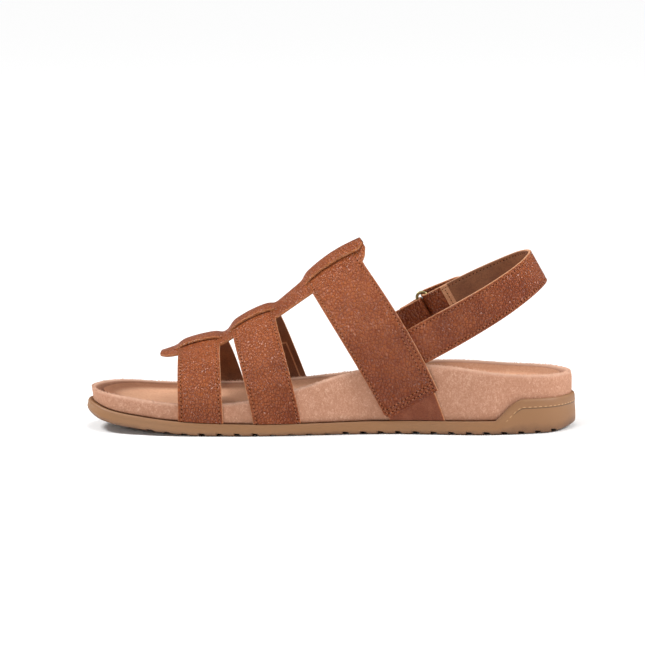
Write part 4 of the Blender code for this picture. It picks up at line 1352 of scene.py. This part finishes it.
def makeHeelStrap():
    shape = slingShape
    half = shape["thickness"] / 2
    route, routeWidths = slingRoute(shape["routeRows"])
    bar, rear, _ = ringFrame()
    layerStep = 2 * (ringShape["wire"] + soleShape["gap"] + half)
    backRun = (route + outsideOf(route) * layerStep)[::-1]
    fold = atLengths(backRun, np.linspace(0.0, shape["foldLength"], shape["foldRows"]))
    fold = fold + np.linspace(*shape["foldLift"], shape["foldRows"])[:, None] * slingNormal
    turn = halfTurn(bar, route[-1], -rear, shape["turnSteps"])
    climb = smoothStep(0.0, 1.0, np.linspace(0.0, 1.0, len(turn)))
    turn = turn + shape["foldLift"][0] * climb[:, None] * slingNormal
    path = np.vstack((route, turn[1:-1], fold))
    # the folded end is cut to a round tongue
    corner = shape["foldCorner"]
    toEnd = np.minimum(lengthsOf(path)[-1] - lengthsOf(path), corner)
    widths = np.pad(routeWidths, (0, len(path) - len(route)), mode="edge")
    widths = widths - 2 * corner + 2 * np.sqrt(corner ** 2 - (corner - toEnd) ** 2)
    grid = ribbon(path, widths, shape["columns"], True)
    tuckUnder(grid[:len(route) // 2], -1, soleShape["gap"] + half, *shape["tuck"])
    spread, normals, edge, across = layBand(grid)
    lengths = lengthsOf(spread[:, spread.shape[1] // 2])
    relief = crossRelief(edge) + creaseRelief(lengths[:, None], across, shape["creases"])
    outer = lifted(spread, normals, half + relief)
    back = lifted(spread, normals, -(half + crossRelief(edge)))
    # inside: lining, then the tan seam strip, then leather on through the ring
    stripEnd = lengths[len(route) - 1] - shape["leatherEnd"]
    middle = (lengths[1:] + lengths[:-1]) / 2
    kind = np.where(middle > stripEnd, 0, np.where(middle > stripEnd - shape["seamStrip"], 2, 1))
    kinds = np.repeat(kind[:, None], spread.shape[1] - 1, axis=1)
    band = bandPiece("heel_strap_band", outer, back, kinds)
    dress(band, "lined_leather", "heel_strap", hide, lining, cutEdge)
    insideFirst, beforeRing, beforeTip = shape["seamRows"]
    mainEnd = len(route) + beforeRing
    foldStart = len(route) + len(turn) - 2
    seams = []
    for side in (False, True):
        seams.append(seamAlong(outer, normals, inset, side, 0, mainEnd))
        seams.append(seamAlong(back, -normals, inset, side, insideFirst, mainEnd))
        seams.append(seamAlong(back, -normals, inset, side, foldStart, len(path) + beforeTip))
    stripRow = int(np.searchsorted(lengths, stripEnd - shape["seamStrip"] / 2))
    inStrip = edge[stripRow] > inset + 1
    seams.append(sewLine(back[stripRow][inStrip], -normals[stripRow][inStrip]))
    sewPiece("heel_strap_stitches", seams, "lined_leather")


def makeRing():
    shape = ringShape
    bpy.ops.object.select_all(action="DESELECT")
    bpy.ops.mesh.primitive_torus_add(major_segments=shape["steps"], minor_segments=shape["wireSteps"],
                                     major_radius=shape["corner"] * mm, minor_radius=shape["wire"] * mm)
    ring = bpy.context.object
    ring.name = "ring_wire"
    ring.data.name = "ring_wire"
    # half a step of turn keeps every corner's points on one side of the middle lines
    ring.data.transform(Matrix.Rotation(math.pi / shape["steps"], 4, "Z"))
    stretch = np.array((shape["reach"] - shape["corner"], shape["halfLength"] - shape["corner"], 0.0)) * mm
    for vertex in ring.data.vertices:
        vertex.co += Vector(np.sign(vertex.co) * stretch)
    bar, rear, _ = ringFrame()
    centre = bar - rear * shape["reach"]
    frameAxes = Matrix(np.column_stack((rear, slingNormal, np.cross(rear, slingNormal))).tolist()).to_4x4()
    ring.data.transform(Matrix.Translation(Vector(centre * mm)) @ frameAxes)
    bpy.ops.object.shade_smooth()
    dress(ring, "antique_brass", "ring", brass)


def makeRingTab():
    shape = tabShape
    half = shape["thickness"] / 2
    bar, rear, out = ringFrame()
    frontBar = bar - rear * 2 * ringShape["reach"]
    radius = ringShape["wire"] + soleShape["gap"] + half
    start = frontBar - out * radius
    rows = shape["runRows"]
    innerRun = np.array([start - rear * shape["run"] * (1 - t) for t in np.arange(rows) / rows])
    turn = halfTurn(frontBar, start, rear, slingShape["turnSteps"])
    pinch = 2 * radius - shape["thickness"] - soleShape["gap"]
    shares = np.arange(1, shape["returnRows"] + 1) / shape["returnRows"]
    close = pinch * smoothStep(0.0, shape["pinchEnd"], shares)
    returnRun = frontBar + out * (radius - close)[:, None] - rear * shape["returnRun"] * shares[:, None]
    grid = ribbon(np.vstack((innerRun, turn, returnRun)), shape["width"], slingShape["columns"], False)
    tuckUnder(grid[:rows], 1, soleShape["gap"] + half, *shape["tuck"])
    tab, back, normals, edge = evenBand("ring_tab_loop", grid, half)
    dress(tab, "leather", "ring_tab", hide, lining, cutEdge)
    row = shape["seamRow"]
    keep = edge[row] > inset
    sewPiece("ring_tab_stitches", [sewLine(back[row][keep], -normals[row][keep])], "leather")


def makeTouchFastener():
    shape = tapeShape
    route, _ = slingRoute(slingShape["routeRows"])
    step = ringShape["wire"] + soleShape["gap"] + slingShape["thickness"] / 2
    middle = (route + outsideOf(route) * step)[::-1]
    run = atLengths(middle, np.linspace(shape["start"], shape["end"], shape["rows"]))
    grid = ribbon(run, shape["width"], slingShape["columns"], False)
    tape = evenBand("touch_fastener_tape", grid, ringShape["wire"])[0]
    tape.data.polygons.foreach_set("material_index", np.zeros(len(tape.data.polygons), np.int32))
    dress(tape, "touch_tape", "touch_fastener", touchTape)


makeHeelStrap()
makeRing()
makeRingTab()
makeTouchFastener()
print("heel strap, ring and fastener fitted")

# Heel cup seam, moulded in the rubber

cupSeam = {
    "inset": 4.2,
    "surface": 0.5,
    "start": 84.0,
    "lowest": 3.2,
    "pitch": 3.0,
    "stitch": (2.1, 0.66, 0.5),
    "grooveBelow": 0.66,
    "grooveHalf": 0.27,
    "grooveProud": 0.1,
    # section of the groove's dark line of painted shadow: share of its half width, share of its height
    "grooveSection": ((-1.0, -0.3), (-1.0, 0.5), (0.0, 1.0), (1.0, 0.5), (1.0, -0.3), (-1.0, -0.3)),
    "steps": 400,
    "least": 0.001,  # least advance from point to point
    # tones on the rubber's ramp: a painted highlight on the stitches, painted shadow on the groove's line
    "stitchHighlightTone": 0.5,
    "grooveShadowTone": -0.3,
}


# line at a distance inside the cup's edge, from its front on the inner side round the back to the outer side
def cupLine(inset):
    flat = soleRing(cupSeam["surface"])
    picks = flat[:, 0] > cupSeam["start"]
    edge = np.column_stack((flat[picks], edgeZ(flat[picks, 0])))
    reach = lengthsOf(edge[:, :2])
    unrolled = np.stack((reach, edge[:, 2]), axis=1)
    run = np.gradient(unrolled, axis=0)
    run /= np.linalg.norm(run, axis=1)[:, None]
    below = unrolled + np.stack((run[:, 1], -run[:, 0]), axis=1) * inset
    order = np.maximum.accumulate(below[:, 0])
    below = below[np.concatenate(([True], np.diff(order) > cupSeam["least"]))]
    stops = np.linspace(below[0, 0], below[-1, 0], cupSeam["steps"])
    z = np.interp(stops, below[:, 0], below[:, 1])
    line = np.stack([np.interp(stops, reach, edge[:, k]) for k in range(2)] + [z], axis=1)
    out = np.stack([np.interp(stops, reach, -soleInward[picks][:, k]) for k in range(2)] + [z * 0], axis=1)
    good = line[:, 2] > bottomZ(line[:, 0]) + cupSeam["lowest"]
    return line[good], out[good]


# raised stitches moulded in relief and coloured paler as a painted highlight, over a fine groove drawn as a
# dark line of painted shadow
def makeCupSeam():
    shape = cupSeam
    line, out = cupLine(shape["inset"])
    frames, _ = sewLine(line, out, shape["pitch"])
    sets = [(modelStitch(shape["stitch"], 8, 6), *frames, 0)]
    stitches = copiesPiece("heel_cup_stitches", sets, {"rise": shape["stitchHighlightTone"]})
    dress(stitches, "gum_rubber", None, highlightRubber)
    line, out = cupLine(shape["inset"] + shape["grooveBelow"])
    across = np.cross(out, np.gradient(line, axis=0))
    across /= np.linalg.norm(across, axis=1)[:, None]
    loops = np.stack([line + across * shape["grooveHalf"] * wide + out * shape["grooveProud"] * tall
                      for wide, tall in shape["grooveSection"]], axis=1)
    tone = np.full(loops.shape[:2], shape["grooveShadowTone"])
    groove = gridPiece("heel_cup_groove_shadow", loops, marks={"rise": tone})
    onWholeMesh(closeEnds, outwards)
    dress(groove, "gum_rubber", None, gumRubber)


makeCupSeam()
print("heel cup seam moulded")

# Floor, light and camera

stageLook = {
    "azimuth": 1.5,
    "elevation": 7.5,
    "aim": (-0.0051, 0.0, 0.0547),
    "distance": 1.732,
    "lens": 180.0,
    "sensor": 36.0,
    "farClip": 200.0,
    "floorSize": 60.0,
    "floorDrop": 0.2,  # mm
    "ambient": 0.27,
    # soft boxes: name, place, width, height, watts
    "boxes": (
        ("right_box", (1.15, -0.25, 0.85), 0.3, 0.6, 17.0),
        ("left_box", (-1.0, 0.1, 1.1), 0.36, 0.36, 18.0),
        ("overhead_box", (0.0, -0.25, 1.6), 0.6, 0.5, 7.0),
        ("front_box", (-0.9, -1.6, 0.6), 0.36, 0.3, 7.0),
    ),
}


# White sweep: paper that glows more the further it lies from the shoe, so that it shows evenly white out to
# the horizon
def makePaper():
    material, tree, shader, place = newMaterial("white_paper", Roughness=0.9, Specular_IOR_Level=0.1,
                                                Emission_Color=(1.0, 1.0, 1.0, 1.0))
    tone = addRamp(tree, addNoise(tree, place, 25.0), [(0.0, "#F6F6F6"), (1.0, "#FAFAFA")])
    far = addNode(tree, "VectorMath", {0: place}, operation="LENGTH").outputs["Value"]
    glow = addRange(tree, far, 0.0, 0.72, 0.3, 1.5, "SMOOTHSTEP")
    plugIn(tree, shader, Base_Color=tone, Emission_Strength=glow)
    return material


def makeStage():
    look = stageLook
    bpy.ops.object.select_all(action="DESELECT")
    bpy.ops.mesh.primitive_plane_add(size=look["floorSize"], location=(0, 0, 0))
    floor = bpy.context.object
    floor.name = "studio_floor"
    floor.data.transform(Matrix.Translation((0.0, 0.0, -look["floorDrop"] * mm)))
    floor.data.materials.append(makePaper())
    world = bpy.data.worlds.new("studio")
    bpy.context.scene.world = world
    world.use_nodes = True
    world.node_tree.nodes["Background"].inputs["Color"].default_value = (1.0, 1.0, 1.0, 1.0)
    world.node_tree.nodes["Background"].inputs["Strength"].default_value = look["ambient"]
    aim = Vector(look["aim"])
    for name, place, width, height, watts in look["boxes"]:
        bpy.ops.object.light_add(type="AREA", location=place)
        box = bpy.context.object
        box.name = name
        box.data.shape = "RECTANGLE"
        box.data.size = width
        box.data.size_y = height
        box.data.energy = watts
        box.rotation_euler = (aim - Vector(place)).to_track_quat("-Z", "Y").to_euler()
    azimuth, elevation = math.radians(look["azimuth"]), math.radians(look["elevation"])
    back = Vector((math.sin(azimuth) * math.cos(elevation), -math.cos(azimuth) * math.cos(elevation),
                   math.sin(elevation)))
    bpy.ops.object.camera_add(location=aim + back * look["distance"])
    camera = bpy.context.object
    camera.rotation_euler = (-back).to_track_quat("-Z", "Y").to_euler()
    camera.data.lens = look["lens"]
    camera.data.sensor_width = look["sensor"]
    camera.data.clip_end = look["farClip"]
    bpy.context.scene.camera = camera
    bpy.context.scene.view_settings.view_transform = "Standard"
    bpy.context.scene.view_settings.look = "None"


makeStage()
